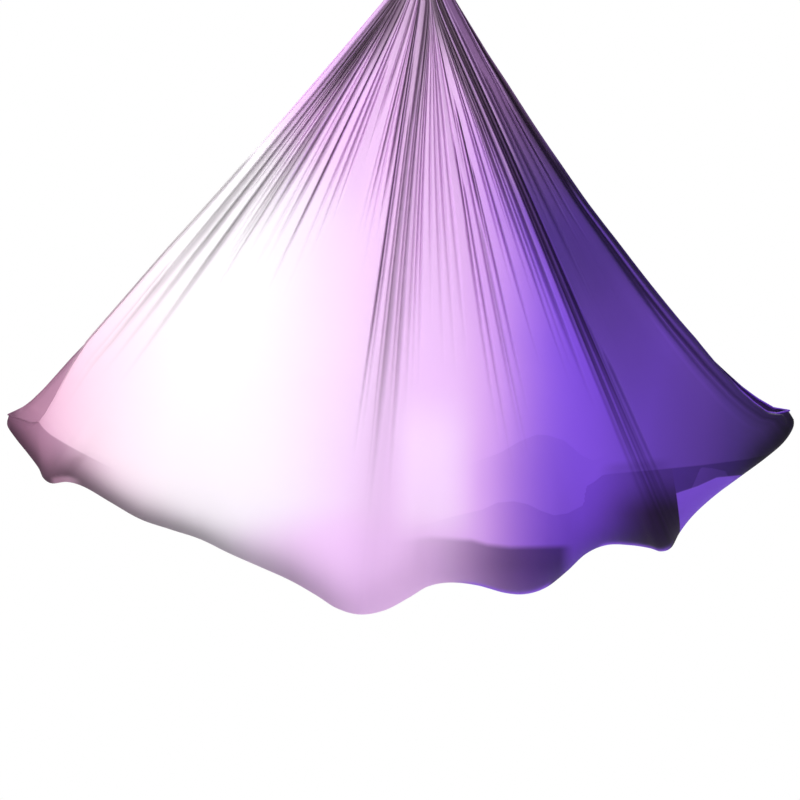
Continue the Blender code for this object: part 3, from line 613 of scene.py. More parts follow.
def curl_radius(biggest):
    """Small along the falls, its biggest near the tip and small again at it, rows as in the sheet."""
    v = np.pad(ROWS, (len(KNOT_ROWS), 0))
    near_tip = ease(v, 0.80, 0.95) * (1 - ease(v, 0.985, 1))
    one = CURL_SMALLEST + (CURL_ON_FALLS - CURL_SMALLEST) * ease(v, 0.02, 0.3)
    one = one + (biggest - CURL_ON_FALLS) * near_tip
    return np.concatenate([one, one[-2::-1]])


left_curl = curl(sheet_points, 0, curl_radius(0.0025))
right_curl = curl(sheet_points, -1, curl_radius(0.006))
sheet_points = np.concatenate([left_curl[::-1], sheet_points, right_curl])
print("With its curled edges the grid is", sheet_points.shape[:2])

# %% [markdown]
# ## The cloth: numbers for its finish
# The finish has to know where a point lies in its pleat, and where cloth lies double inside
# the seat, because it paints shade there. Both are stored on the mesh as attributes, one number
# for each point. An edge of a double layer is stored as a height above that edge, and the
# finish cuts it off sharply at zero, so the edge stays crisp however large the faces are.

# %% Where the seat turns away from the light
BACK_GROUPS = [  # the same numbers as for the groups of the front
    (0, 30, 0.35, 0.3, 0.8), (-5.0, 2.3, 0.12, 1.6, 3.5), (31.5, 0.9, 0.72, 1.3, 2.5),
]
UNDER_BAND = [  # x, and how far up the cloth turns away from the light
    (-1.47, 0.055), (-1.3, 0.10), (-1.17, 0.085), (-1.0, 0.082), (-0.8, 0.072), (-0.6, 0.095),
    (-0.45, 0.115), (-0.3, 0.130), (0.0, 0.08), (0.5, 0.08), (0.9, 0.06), (1.3, 0.085),
]
UNDER_DARK = [  # x, and how dark it is there
    (-1.47, 0.72), (-1.35, 0.86), (-1.1, 0.86), (-0.85, 0.76), (-0.6, 0.58), (-0.46, 0.58),
    (-0.33, 0.42), (-0.2, 0.06), (0.0, 0.02), (0.2, 0.1), (0.5, 0.35), (0.66, 0.25), (0.86, 0.2),
    (0.92, 0), (1.1, 0), (1.2, 0.75), (1.3, 0.8),
]
print("The seat turns under over", min(UNDER_BAND)[1], "m at the left tip")

# %% Light and dye on the falls
def whole_shade(shaded, groups, distance):
    """Painted shade of the tucks and their groups together: 1 in the darkest place and 0 on smooth cloth."""
    return 1 - (1 - shaded) * (1 - group_shade(groups, distance))


def dye_place(points, distance):
    """Where in the row of dyed colours a point lies, as the x that it would have on smooth cloth.
    Near the knot the middle colours cover the left too, right of the dark group the cloth
    comes from further out, and low on the left it is pinker."""
    x, z = points[..., 0], points[..., 2]
    from_right = ease(angles, 23.25, 23.7)[:, None]
    near_knot = 1 - ease(distance, 0.45, 1.05)
    further = 1.08 - 0.28 * ease(distance, 1.2, 1.9)
    place = x + np.clip(further - x, 0, None) * from_right
    pinker = ease(x, -0.9, -0.6) * (1 - ease(x, -0.25, 0.0)) * ease(-z, 2.36, 2.56)
    return np.where(place < 0, place * (1 - near_knot), place) + 0.22 * pinker


def grey_sheen_part(distance):
    """1 where the cloth right of the dark group is greyer and pinker near the knot, partly its dye and partly
    painted sheen.
    """
    return ease(angles, 22.9, 23.3)[:, None] * (1 - ease(distance, 0.45, 1.15))


def pale_part(points):
    """1 where the light comes through most freely, below the middle."""
    x, down = points[..., 0], -points[..., 2]
    across = ease(x, -0.13, -0.01) * (1 - ease(x, 0.05, 0.22))
    return across * ease(down, 1.95, 2.2) * (1 - ease(down, 2.40, 2.56))


FALL_LONG = 2.2  # metres from the knot to the seat


def low_hem(points):
    """1 on the thin lit line of two stretches of the seat's lower edge."""
    x = points[..., 0]
    left_stretch = ease(x, 0.10, 0.22) * (1 - ease(x, 0.44, 0.47))
    right_stretch = ease(x, 0.62, 0.65) * (1 - ease(x, 0.87, 0.90))
    metres_up = (1 - ROWS[None, :]) * FALL_LONG
    return near(metres_up, 0.0085) * (left_stretch + right_stretch)


def turned_under(points):
    """1 along the seat's lower edge, where the cloth turns away from the light."""
    x, z = points[..., 0], points[..., 2]
    seat = seat_points(np.linspace(0, 1, 500))
    above_edge = z - np.interp(x, seat[:, 0], seat[:, 1])
    lit_patch = ease(x, -1.325, -1.300) * (1 - ease(x, -1.26, -1.20)) * (1 - ease(above_edge, 0.014, 0.030))
    return between(x, UNDER_DARK) * near(above_edge, between(x, UNDER_BAND)) * (1 - 0.75 * lit_patch)


def inner_face():
    """1 on the inner face of the back fall that shows beyond the front edge at both tips."""
    u, v = share[:, None], ROWS[None, :]
    return near(u, 0.07) * ease(v, 0.6, 0.9) + near(1 - u, 0.03) * ease(v, 0.7, 0.9)


front_painted_shade = whole_shade(front_shade, SHADED_GROUPS, front_far)
back_painted_shade = whole_shade(back_shade, BACK_GROUPS, back_far)
darkest_places = [round(float(dark.max()), 2) for dark in (front_painted_shade, back_painted_shade)]
print("The darkest places of both falls:", darkest_places)

# %% Edges of double layers
# x and z of each edge, as it shows through the cloth from the front.
UPPER_LAYER = [
    (0.02, -2.310), (0.106, -2.281), (0.186, -2.247), (0.278, -2.213), (0.339, -2.177), (0.401, -2.152),
    (0.438, -2.153), (0.500, -2.173), (0.560, -2.225), (0.600, -2.243), (0.711, -2.207), (0.86, -2.20),
    (1.4, -2.20),
]
LOWER_LAYER = [
    (-0.2, -2.480), (-0.082, -2.481), (0.032, -2.459), (0.124, -2.434), (0.211, -2.413),
    (0.266, -2.388), (0.321, -2.384), (0.370, -2.394), (0.414, -2.416), (0.463, -2.434),
    (0.512, -2.428), (0.571, -2.398), (0.574, -2.335), (0.604, -2.318), (0.635, -2.293),
    (0.684, -2.287), (0.770, -2.280), (0.846, -2.274), (0.979, -2.262), (1.154, -2.242), (1.40, -2.19),
]
SINGLE_TOP = [
    (0.880, -2.362), (0.896, -2.360), (0.979, -2.334), (1.046, -2.305), (1.146, -2.298), (1.30, -2.26),
]
GAP_TOP = [
    (0.93, -2.40), (0.968, -2.31), (0.985, -2.268), (1.03, -2.273), (1.08, -2.284), (1.105, -2.33),
]
# Painted shade lies below this edge, along the bottom of the seat.
BOTTOM_SHADE_BAND = [
    (-0.1, -2.525), (0.03, -2.510), (0.175, -2.520), (0.229, -2.536), (0.31, -2.545), (0.60, -2.545),
]
LEFT_CREASE = [
    (-1.45, -2.08), (-1.357, -2.106), (-1.343, -2.128), (-1.314, -2.153), (-1.264, -2.181),
    (-1.204, -2.213), (-1.129, -2.253), (-1.039, -2.295), (-0.8, -2.40),
]


FOLD_TOP = (0.898, -2.363)
FOLD_LEANS = 0.18  # how far to the right the fold goes for each metre down


def height_above(edge, points):
    """Height of each point above an edge line given as x and z."""
    return points[..., 2] - between(points[..., 0], edge)


def fold_side(points):
    """Metres to the right of the upright fold under the right-hand end of the seat."""
    return points[..., 0] - (FOLD_TOP[0] + (FOLD_TOP[1] - points[..., 2]) * FOLD_LEANS)


print("The lower layer's edge runs from", LOWER_LAYER[0][0], "to", LOWER_LAYER[-1][0], "m")

# %% Attributes of the cloth
def on_sheet(front_values, back_values):
    """One number a point in the sheet's order, repeated into the knot and the curled edges."""
    falls = [np.pad(values, ((0, 0), (len(KNOT_ROWS), 0)), "edge") for values in (front_values, back_values)]
    return np.pad(join_falls(*falls), ((CURL_STEPS, CURL_STEPS), (0, 0)), "edge")


def both_heights(edge):
    """The same edge of a layer, seen from the front and through the back."""
    return on_sheet(height_above(edge, front), height_above(edge, back))


back_crease = height_above(LEFT_CREASE, back) + inner_face()  # not on the inner face of the tip
NOTHING = np.zeros(front_far.shape)
marks = {
    "shade": on_sheet(front_painted_shade, back_painted_shade),
    "dye": on_sheet(dye_place(front, front_far), dye_place(back, back_far)),
    "upper_layer": both_heights(UPPER_LAYER),
    "lower_layer": both_heights(LOWER_LAYER),
    "single_layer": both_heights(SINGLE_TOP),
    "bottom_shade_band": both_heights(BOTTOM_SHADE_BAND),
    "gap": both_heights(GAP_TOP),
    "fold_side": on_sheet(fold_side(front), fold_side(back)),
    "across": on_sheet(front[..., 0], back[..., 0]),
    "under": on_sheet(turned_under(front), turned_under(back)),
    "inside": on_sheet(NOTHING, inner_face()),
    "left_crease": on_sheet(height_above(LEFT_CREASE, front), back_crease),
    "ridge": on_sheet(lit_ridges(front_far), NOTHING),
    "grey_sheen": on_sheet(grey_sheen_part(front_far), grey_sheen_part(back_far)),
    "hem": on_sheet(low_hem(front), low_hem(back)),
    "pale": on_sheet(pale_part(front), NOTHING),
    "far": on_sheet(front_far, back_far),
}
# The curled edge on the right gets a painted highlight, and the one on the left painted shade that makes it
# mauve.
left_far, right_far = marks["far"][0], marks["far"][-1]
marks["hem"][-CURL_STEPS:] = ease(right_far, 1.85, 1.98)
marks["under"][:CURL_STEPS] = 0.45 * ease(left_far, 1.2, 1.6) * (1 - ease(left_far, 1.9, 2.1))
print("The cloth carries", len(marks), "attributes, each on a grid of", marks["shade"].shape)

# %% Mesh of the cloth
CURL_ACROSS = 0.003  # metres of cloth between two columns of a curl


def grid_faces(columns, rows):
    """Four corners for each face of a grid, in the order that makes it look outwards."""
    first = (np.arange(columns - 1)[:, None] * rows + np.arange(rows - 1)[None, :]).ravel()
    return np.stack([first, first + 1, first + rows + 1, first + rows], axis=1)


def add_uv(mesh, uv):
    """One UV pair for each corner, from one for each point."""
    layer = mesh.uv_layers.new(name="cloth_metres")
    corners = np.empty(len(mesh.loops), np.int32)
    mesh.loops.foreach_get("vertex_index", corners)
    layer.data.foreach_set("uv", uv[corners].astype(np.float32).ravel())


def add_attribute(mesh, name, values):
    """One number for each point of a mesh."""
    layer = mesh.attributes.new(name, "FLOAT", "POINT")
    layer.data.foreach_set("value", values.astype(np.float32).ravel())


def add_piece(name, mesh):
    """An object for a mesh, in the scene."""
    piece = bpy.data.objects.new(name, mesh)
    bpy.context.scene.collection.objects.link(piece)
    return piece


def cloth_uv(points):
    """Metres across the cloth and metres along it, from the left edge and the front knot."""
    past_edge = np.arange(1, CURL_STEPS + 1) * CURL_ACROSS
    across = np.concatenate([-past_edge[::-1], share * CLOTH_WIDE, CLOTH_WIDE + past_edge])
    along = np.linspace(0, CLOTH_LONG, points.shape[1])
    return np.stack(np.meshgrid(across, along, indexing="ij"), axis=2).reshape(-1, 2)


def make_cloth():
    """The whole sheet, with its UV map and its attributes."""
    columns, rows = sheet_points.shape[:2]
    mesh = bpy.data.meshes.new("hammock_cloth")
    mesh.from_pydata(sheet_points.reshape(-1, 3).tolist(), [], grid_faces(columns, rows).tolist())
    mesh.shade_smooth()
    add_uv(mesh, cloth_uv(sheet_points))
    for name, values in marks.items():
        add_attribute(mesh, name, values)
    return add_piece("hammock_cloth", mesh)


cloth = make_cloth()
print("The cloth has", len(cloth.data.polygons) * 2, "triangles")
front_face = cloth.data.polygons[len(cloth.data.polygons) // 2 - 40]
print("A face of the front looks towards", [round(c, 2) for c in front_face.normal])

# %% [markdown]
# ## Finish of the cloth
# Nylon tricot is a fine warp knit: thin, a little shiny, and it lets a good part of the light
# through. Its colour runs from mauve over white and lilac to indigo, dyed across the width,
# so the colour follows x. Where light would pass several layers, in the pleats and where the
# cloth lies double, the darker colour is painted shade. A mix of a Principled and a Translucent
# shader lets light through with no true thickness. Each darker or paler place, painted shade or
# painted light, is a product of a few numbers from 0 to 1: under which edge it lies, and where
# along x it grows and fades again.

# %% Colour helpers
def attribute(tree, name):
    """The number that the mesh holds under this name."""
    return add_node(tree, "ShaderNodeAttribute", attribute_name=name).outputs["Fac"]


def scaled(tree, vector, scale):
    """A place stretched along its three directions."""
    return add_node(tree, "ShaderNodeMapping", {"Vector": vector, "Scale": scale}).outputs["Vector"]


def noise(tree, vector, scale, detail, rough=0.5):
    """Cloudy noise from 0 to 1."""
    inputs = {"Vector": vector, "Scale": scale, "Detail": detail, "Roughness": rough}
    return add_node(tree, "ShaderNodeTexNoise", inputs).outputs["Fac"]


def bumps(tree, height, strength, distance):
    """The direction of a surface with this relief."""
    inputs = {"Height": height, "Strength": strength, "Distance": distance}
    return add_node(tree, "ShaderNodeBump", inputs).outputs["Normal"]


def paint(hex_colour):
    """A colour written as in a paint program, as the light values that shaders use."""
    parts = [int(hex_colour[i : i + 2], 16) / 255 for i in (0, 2, 4)]
    return (*(p / 12.92 if p <= 0.04045 else ((p + 0.055) / 1.055) ** 2.4 for p in parts), 1)


def mix_colours(tree, amount, first, second, **settings):
    """The first colour where amount is 0 and the second where it is 1."""
    inputs = {"Factor": amount, 6: first, 7: second}
    return add_node(tree, "ShaderNodeMix", inputs, data_type="RGBA", **settings).outputs[2]


def darken(tree, colour, amount, tint):
    """Multiplies a colour by a tint, as far as amount says."""
    return mix_colours(tree, amount, colour, (*tint, 1), blend_type="MULTIPLY")


def blend_to(tree, colour, amount, hex_colour):
    """Mixes a colour towards another one, as far as amount says."""
    return mix_colours(tree, amount, colour, paint(hex_colour))


def ramp(tree, value, stops):
    """A soft row of colours, each with its place from 0 to 1."""
    node = add_node(tree, "ShaderNodeValToRGB", {"Fac": value})
    node.color_ramp.interpolation = "B_SPLINE"
    while len(node.color_ramp.elements) > 1:
        node.color_ramp.elements.remove(node.color_ramp.elements[-1])
    for number, (place, colour) in enumerate(stops):
        stop = node.color_ramp.elements[0] if number == 0 else node.color_ramp.elements.new(place)
        stop.position = place
        stop.color = paint(colour)
    return node.outputs["Color"]


print("Half grey in a paint program is", round(paint("808080")[0], 3), "as light")

# %% Colours of the cloth
# Towards the right tip the darkest colours are partly dye and partly painted shade.
OMBRE = [  # x, and the colour that the cloth is dyed there
    (-1.47, "a07690"), (-1.38, "c898b2"), (-1.28, "f4c8e0"), (-1.16, "f6dcea"), (-1.02, "f6e8f0"),
    (-0.86, "f5f2f4"), (-0.55, "f5f4f5"), (-0.36, "f4e6f6"), (-0.16, "f2d0f5"), (0.10, "f3cef8"),
    (0.22, "e2b0f4"), (0.34, "b681ea"), (0.48, "8f5dea"), (0.62, "8856e4"), (0.74, "784ecc"),
    (0.85, "704abc"), (1.00, "6644a4"), (1.08, "583c94"), (1.18, "483474"), (1.32, "2c2240"),
]
OMBRE_END = 1.5  # the row of colours runs this far to both sides of the middle
# Painted shade: the tucks' darkness multiplies the colour towards this tint.
TUCK_SHADE_TINT = (0.088, 0.082, 0.074)  # what the darkest tuck keeps of red, green and blue


def ombre(tree, gathered):
    """The dyed colour across the cloth, with slow unevenness as in hand dyeing."""
    place = add_node(tree, "ShaderNodeTexCoord").outputs["Object"]
    if gathered:
        x = add_node(tree, "ShaderNodeSeparateXYZ", {0: place}).outputs["X"]
    else:
        x = attribute(tree, "dye")
    x = maths(tree, "ADD", x, map_range(tree, noise(tree, place, 1.3, 2.0), 0.3, 0.7, -0.02, 0.02))
    stops = [((at + OMBRE_END) / (2 * OMBRE_END), colour) for at, colour in OMBRE]
    return ramp(tree, map_range(tree, x, -OMBRE_END, OMBRE_END, 0, 1, False), stops)


def lit_edges(tree, colour, far):
    """The edges of folds that catch the light: pale near the knot, and violet further down."""
    ridge = attribute(tree, "ridge")
    # Painted highlights on the edges of folds.
    pale_highlight = product(tree, ridge, map_range(tree, far, 0.8, 1.1, 0.9, 0))
    violet_highlight = product(tree, ridge, map_range(tree, far, 0.8, 1.1, 0, 0.8))
    return blend_to(tree, blend_to(tree, colour, pale_highlight, "d8b0e8"), violet_highlight, "8458d8")


print("The ombre has", len(OMBRE), "colours from", OMBRE[0][0], "to", OMBRE[-1][0], "m")

# %% Painted shade of double layers
def below(tree, name, soft=0.003):
    """1 below the edge that an attribute gives the height above, and 0 over it."""
    return map_range(tree, attribute(tree, name), -soft, soft, 1, 0)


def layer_shade_left_of_fold(tree, colour, x, double, left_of_fold):
    """Painted shade of two layers behind the front, the lower one deeper and with a dark line along its edge.
    """
    # Painted shade of the upper layer, and a faint one where cloth lies double.
    upper_layer_shade = product(tree, below(tree, "upper_layer"), map_range(tree, x, 0.14, 0.34, 0, 0.36))
    upper_layer_shade = product(tree, upper_layer_shade, map_range(tree, x, 0.46, 0.70, 1, 0))
    colour = darken(tree, colour, upper_layer_shade, (0.70, 0.66, 0.80))
    faint_layer_shade = product(tree, double, map_range(tree, x, -0.1, 0.55, 0.0, 0.30))
    colour = darken(tree, colour, faint_layer_shade, (0.40, 0.26, 0.58))
    height = attribute(tree, "lower_layer")
    # Painted shade of the lower layer, and soft painted shade above its edge.
    deeper = product(tree, double, left_of_fold, map_range(tree, x, 0.53, 0.82, 0, 1))
    deeper = product(tree, deeper, map_range(tree, height, -0.16, -0.01, 1, 0.42))
    colour = darken(tree, colour, deeper, (0.17, 0.17, 0.11))
    above = product(tree, map_range(tree, height, 0.015, 0.05, 0.28, 0), maths(tree, "SUBTRACT", 1.0, double))
    above = product(tree, above, map_range(tree, x, 0.60, 0.70, 0, 1), map_range(tree, x, 0.82, 0.90, 1, 0))
    return darken(tree, colour, above, (0.25, 0.24, 0.24))


def layer_shade_right_of_fold(tree, colour, double, right_of_fold):
    """A strip of painted shade with a paler gap in it, and under it painted light on the one place where the
    cloth lies single.
    """
    # Painted shade of the strip, less of it in the pale gap.
    pale_gap = product(tree, below(tree, "gap"), 0.42)
    strip = product(tree, double, right_of_fold, maths(tree, "SUBTRACT", 0.44, pale_gap))
    colour = darken(tree, colour, strip, (0.25, 0.24, 0.30))
    # Painted light where the cloth lies single and is lit from behind.
    single = product(tree, below(tree, "single_layer"), right_of_fold, 0.9)
    return blend_to(tree, colour, single, "9664f4")


def seat_edge(tree, colour, x):
    """Painted shade on the band along the bottom, the turned-under edge and the left tip, and a painted
    highlight on the lit hem.
    """
    # Painted shade along the bottom of the seat and where it turns under, away from the light.
    band = product(tree, below(tree, "bottom_shade_band", 0.013), map_range(tree, x, -0.12, 0.34, 0.0, 0.86))
    band = product(tree, band, map_range(tree, x, 0.480, 0.545, 1, 0))
    band = product(tree, band, map_range(tree, attribute(tree, "bottom_shade_band"), -0.17, -0.05, 0.72, 1))
    colour = darken(tree, colour, band, (0.22, 0.23, 0.21))
    colour = darken(tree, colour, attribute(tree, "under"), (0.10, 0.085, 0.10))
    # Painted shade below the crease at the left tip.
    crease_shade = product(tree, below(tree, "left_crease", 0.004), map_range(tree, x, -1.30, -1.06, 0.62, 0))
    colour = darken(tree, colour, crease_shade, (0.36, 0.25, 0.34))
    # Painted shade on the inner face of the back fall at the tips.
    inside = product(tree, attribute(tree, "inside"), map_range(tree, x, -1.46, -1.28, 0.30, 0.85))
    colour = darken(tree, colour, inside, (0.36, 0.28, 0.34))
    return blend_to(tree, colour, product(tree, attribute(tree, "hem"), 0.85), "9a60f4")


def double_layer_shade(tree, colour):
    """Painted shade where cloth lies double and at the edges of the seat."""
    x = attribute(tree, "across")
    double = below(tree, "lower_layer")
    left_of_fold = below(tree, "fold_side", 0.002)
    right_of_fold = maths(tree, "SUBTRACT", 1.0, left_of_fold)
    # Painted light where it comes through the cloth most freely.
    colour = blend_to(tree, colour, product(tree, attribute(tree, "pale"), 0.7), "ffeaff")
    colour = layer_shade_left_of_fold(tree, colour, x, double, left_of_fold)
    colour = layer_shade_right_of_fold(tree, colour, double, right_of_fold)
    return seat_edge(tree, colour, x)


print("Edges in the finish:", [name for name in marks if name.endswith(("layer", "band", "gap", "crease"))])

# %% The knit
THREAD_LINES = (45, 0.3, 1)  # fine lines along the threads, as many to the metre of cloth
KNIT_LOOPS = (900, 650, 1)
LIGHT_THROUGH = 0.38  # share of the translucent shader


def cloth_material(name, gathered=False):
    """Dyed colour, painted shade in the tucks, fine lines and loops, and the light that comes through."""
    material, tree, shader = new_material(name)
    uv = add_node(tree, "ShaderNodeUVMap", uv_map="cloth_metres").outputs["UV"]
    far = attribute(tree, "far")
    shade = attribute(tree, "shade")
    lines = noise(tree, scaled(tree, uv, THREAD_LINES), 1.0, 2.0)
    clear_lines = map_range(tree, lines, 0.45, 0.70, 0, 1)
    lined = product(tree, clear_lines, map_range(tree, far, 0.25, 1.0, 0.25, 1), shade)
    # deep is the painted shade of the tucks, with the fine lines a little darker in it.
    deep = maths(tree, "ADD", product(tree, shade, 0.95), product(tree, lined, 0.08))
    deep = map_range(tree, deep, 0, 1, 0, 1, False)
    colour = ombre(tree, gathered)
    if gathered:
        colour = darken(tree, colour, deep, TUCK_SHADE_TINT)
    else:
        # Greyer and pinker near the knot: partly dye, partly painted sheen.
        colour = blend_to(tree, colour, attribute(tree, "grey_sheen"), "9a72a8")
        colour = darken(tree, colour, deep, TUCK_SHADE_TINT)
        colour = double_layer_shade(tree, lit_edges(tree, colour, far))
    waves = {"Vector": scaled(tree, uv, KNIT_LOOPS), "Scale": 0.32, "Distortion": 1.2, "Detail": 1.0}
    loops = add_node(tree, "ShaderNodeTexWave", waves).outputs["Fac"]
    rough = map_range(tree, product(tree, loops, lines), 0, 0.6, 0.55, 0.75)
    relief = bumps(tree, maths(tree, "ADD", product(tree, loops, 0.06), lined), 0.5, 0.004)
    tree.links.new(colour, shader.inputs["Base Color"])
    tree.links.new(rough, shader.inputs["Roughness"])
    tree.links.new(relief, shader.inputs["Normal"])
    shader.inputs["Specular IOR Level"].default_value = 0.12
    shader.inputs["Sheen Weight"].default_value = 0.04
    through = add_node(tree, "ShaderNodeBsdfTranslucent", {"Color": colour, "Normal": relief})
    shaders = {0: LIGHT_THROUGH, 1: shader.outputs[0], 2: through.outputs[0]}
    mix = add_node(tree, "ShaderNodeMixShader", shaders)
    tree.links.new(mix.outputs[0], tree.nodes["Material Output"].inputs["Surface"])
    return material


cloth.data.materials.append(cloth_material("ombre_tricot_knit"))
print("The cloth's finish has", len(cloth.data.materials[0].node_tree.nodes), "nodes")

# %% [markdown]
# ## Gathered ends and knot
# Above the pleats the whole width is drawn together into a rope of cloth, which goes over the
# ring and down again. It is a tube along a path, and its outline is a flower of folds
# instead of a circle, turned slowly as it runs, which is what gathered cloth does.

# %% Ropes of gathered cloth
GATHERED = cloth_material("gathered_tricot_knit", gathered=True)
# Painted shade in the grooves between the folds of gathered cloth.
DARKEST_GROOVE_SHADE = 0.8  # on the scale of the tucks, where 1 is darkest


def sideways(path):
    """Two sideways directions at each point of a path, turned as little as possible."""
    ways = np.gradient(path, axis=0)
    ways /= np.linalg.norm(ways, axis=1, keepdims=True)
    side = np.cross(ways[0], [0.31, 0.77, 0.55])
    sides = []
    for way in ways:
        side = side - way * (side @ way)
        side /= np.linalg.norm(side)
        sides.append(side)
    return np.array(sides), np.cross(ways, np.array(sides))


def tube_faces(count, around):
    """The skin of a tube of rings of points, and a fan from one more point at each end."""
    faces = []
    for row in range(count - 1):
        here, next_ring = row * around, (row + 1) * around
        for column in range(around):
            after = (column + 1) % around
            faces.append((here + column, here + after, next_ring + after, next_ring + column))
    last = (count - 1) * around
    faces += [(count * around, (column + 1) % around, column) for column in range(around)]
    faces += [(count * around + 1, last + column, last + (column + 1) % around) for column in range(around)]
    return faces


def cloth_rope(name, path, radius, folds, deep, turn, seed, around=96):
    """A closed tube of folded cloth along a path. Its folds go in by up to deep times the radius,
    and turn round the path by about turn radians from end to end."""
    path = np.array(path, float)
    sizes = np.random.default_rng(seed).uniform(0.5, 1.0, folds)
    round_angles = np.linspace(0, 2 * math.pi, around, endpoint=False)
    steps = np.linspace(0, 1, len(path))[:, None]
    sides, others = sideways(path)
    number = np.arange(around) * folds // around
    wave = np.abs(np.sin(round_angles * folds / 2)) ** 0.8
    reach_out = radius * (1 - deep * sizes[number] * (1 - wave))[None, :]
    turned = round_angles[None, :] + turn * steps + 0.25 * np.sin(3 * steps)
    a = (np.cos(turned) * reach_out)[..., None]
    b = (np.sin(turned) * reach_out)[..., None]
    points = path[:, None] + sides[:, None] * a + others[:, None] * b
    points = np.concatenate([points.reshape(-1, 3), path[:1], path[-1:]])
    mesh = bpy.data.meshes.new(name)
    mesh.from_pydata(points.tolist(), [], tube_faces(len(path), around))
    mesh.shade_smooth()
    along, across = lengths_along(path), np.arange(around) * CLOTH_WIDE / around
    uv = np.stack(np.meshgrid(along, across, indexing="ij"), axis=2).reshape(-1, 2)[:, ::-1]
    add_uv(mesh, np.concatenate([uv, [[0, 0], [0, along[-1]]]]))
    # Painted shade, darkest in the grooves between the folds.
    groove_shade = DARKEST_GROOVE_SHADE * (0.15 + 0.85 * (1 - wave))
    add_attribute(mesh, "shade", np.concatenate([np.tile(groove_shade, len(path)), [DARKEST_GROOVE_SHADE] * 2]))
    rope = add_piece(name, mesh)
    rope.data.materials.append(GATHERED)
    return rope


print("The gathered cloth's finish has", len(GATHERED.node_tree.nodes), "nodes")

# %% Ends over the ring
RING_LOW = -0.4128  # height of the ring's rod where it is lowest
RING_ROD = 0.006  # radius of that rod
KNOT_LOW = -0.4788  # height of the knot's lower end
LOOP_ROD = 0.0085  # radius of a gathered end
LOOP_RISE = 0.0112  # from the top of the rod up to the middle of the gathered end
LOOP_REACH = 0.0155  # radius of the turn over the rod
LOOP_LEG = 0.0092  # half the gap between a loop's legs in the knot, from middle to middle
LOOP_OFFSET = 0.009  # half the same gap between the front loop and the back loop
CLEAR = 0.0003  # between the knot's lower end and the gathered ends in it
LEG_STEPS = 14


def over_ring(x):
    """Up one side, over the ring's lowest rod and down the other side."""
    start = KNOT_LOW + CLEAR
    middle = RING_LOW + RING_ROD + LOOP_RISE - LOOP_REACH
    heights = start + (middle - start) * np.arange(LEG_STEPS) / LEG_STEPS
    apart = LOOP_LEG + (LOOP_REACH - LOOP_LEG) * ease(heights, RING_LOW - 0.022, RING_LOW - 0.002)
    leg = [(x, y, z) for y, z in zip(apart, heights)]
    half_turn = np.linspace(math.pi, 0, 21)
    top = [(x, LOOP_REACH * math.cos(a), middle + LOOP_REACH * math.sin(a)) for a in half_turn]
    return [(a, -b, c) for a, b, c in leg] + top + leg[::-1]


FOLDED = {"radius": LOOP_ROD, "folds": 15, "deep": 0.30}
front_loop = cloth_rope("front_gathered_end", over_ring(-LOOP_OFFSET), turn=0.9, seed=3, **FOLDED)
back_loop = cloth_rope("back_gathered_end", over_ring(LOOP_OFFSET), turn=-0.8, seed=5, **FOLDED)
print("Gathered ends:", [len(piece.data.polygons) for piece in (front_loop, back_loop)], "faces")

# %% The knot's turns
TURNS = 3
TURN_STEPS = 40
TURN_REACH = 0.0277  # from the middle of the knot to the middle of its turns
TURN_ROD = 0.0057
TURNS_HIGH, TURNS_LOW = KNOT_LOW + 0.0440, KNOT_LOW + 0.0075


def knot_path():
    """Turns round the four gathered legs, from the top down."""
    steps = np.arange(TURNS * TURN_STEPS + 1)
    turned = 2 * math.pi * steps / TURN_STEPS + 0.6
    heights = TURNS_HIGH + (TURNS_LOW - TURNS_HIGH) * steps / steps[-1]
    return np.stack([TURN_REACH * np.cos(turned), TURN_REACH * np.sin(turned), heights], axis=1)


knot = cloth_rope("knot_turns", knot_path(), TURN_ROD, folds=9, deep=0.26, turn=9.0, seed=8, around=54)
print("The knot has", len(knot.data.polygons), "faces")

# %% [markdown]
# ## Where the cloth belongs
# All the cloth hangs on one body, the hammock, which swings on the lower carabiner. Each piece
# stands for the plain solids of the CAD model that it replaces, which are hidden. The sheet was
# cut to 2.8 m by 5 m.

# %% Bodies and the hidden CAD parts
STANDS_FOR = [
    (cloth, "ombre_tricot", ["front_fall", "back_fall"]),
    (front_loop, "gathered_tricot", ["front_end_loop"]),
    (back_loop, "gathered_tricot", ["back_end_loop"]),
    (knot, "gathered_tricot", ["knot_wrap"]),
]
for piece, slot, nodes in STANDS_FOR:
    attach(piece, "hammock")
    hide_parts(*nodes)
print("Cloth pieces:", [piece.name for piece, slot, nodes in STANDS_FOR])

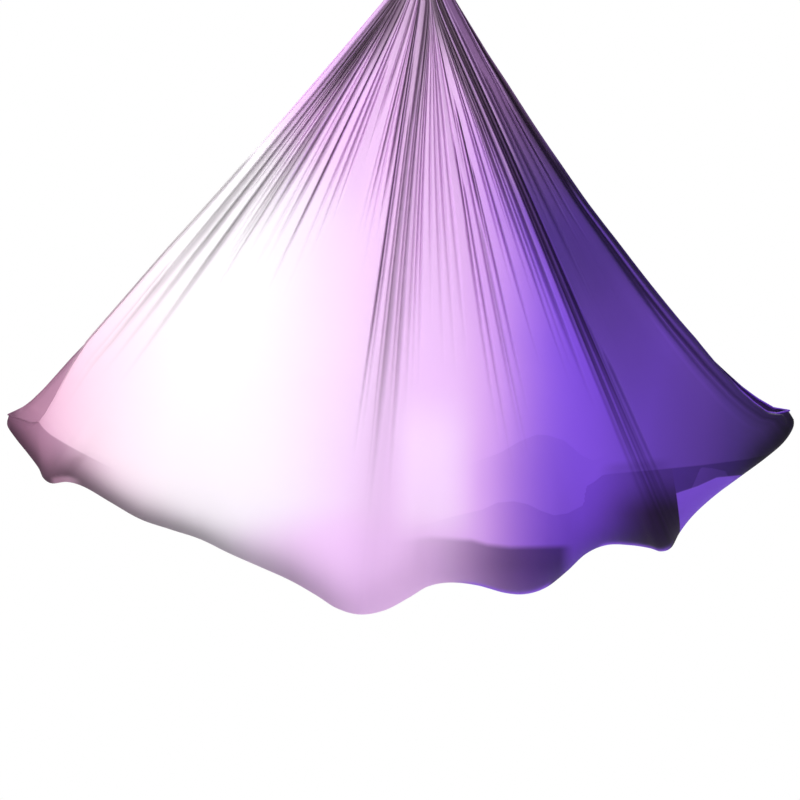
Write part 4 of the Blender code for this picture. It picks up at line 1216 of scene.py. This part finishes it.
# %% [markdown]
# ## Metal finishes
# The steel parts are brushed and a little worn, the bolts are zinc plated with the cloudy
# pattern that plating has, the bearing is polished, and the locking sleeves are violet
# anodised aluminium. Each is a Principled shader with metallic 1, and noise at the size of
# the real marks gives its roughness and bump.

# %% Metals
def metal(name, pale, deep_tone, rough_low, rough_high, streak, grain):
    """Two tones, a roughness and a fine relief, all from scratches and slow clouds."""
    material, tree, shader = new_material(name)
    place = add_node(tree, "ShaderNodeTexCoord").outputs["Object"]
    scratches = noise(tree, scaled(tree, place, streak), grain, 4.0, 0.65)
    clouds = noise(tree, place, 90, 3.0)
    both = maths(tree, "ADD", product(tree, scratches, 0.6), product(tree, clouds, 0.4))
    tone = mix_colours(tree, map_range(tree, both, 0.35, 0.65, 0, 1), paint(deep_tone), paint(pale))
    tree.links.new(tone, shader.inputs["Base Color"])
    tree.links.new(map_range(tree, both, 0.3, 0.7, rough_high, rough_low), shader.inputs["Roughness"])
    tree.links.new(bumps(tree, scratches, 0.25, 0.0003), shader.inputs["Normal"])
    shader.inputs["Metallic"].default_value = 1.0
    return material


# Name, both tones, lowest and highest roughness, and the stretch and grain of the scratches.
STEEL = metal("brushed_steel_finish", "94979c", "64686e", 0.24, 0.42, (1, 1, 7), 260)
ZINC = metal("zinc_plate_finish", "9a9ea6", "70757c", 0.28, 0.5, (1, 1, 1), 320)
BEARING = metal("bearing_steel_finish", "aeb1b6", "8a8e94", 0.08, 0.2, (1, 1, 1), 500)
ANODISED = metal("violet_anodised_finish", "5836a8", "402684", 0.28, 0.42, (1, 1, 6), 300)


def finish_of(node):
    """The finish of a piece of the rigging, by its name."""
    if node.startswith(("anchor", "swivel_nut")):
        return ZINC
    if "race" in node or "ball" in node:
        return BEARING
    if "sleeve" in node and "spring" not in node:
        return ANODISED
    return STEEL


rigging = {node: item for node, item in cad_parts.items() if not item.hide_render}
for node, item in rigging.items():
    for slot in item.material_slots:
        slot.material = finish_of(node)
print("Finishes on", len(rigging), "CAD nodes")
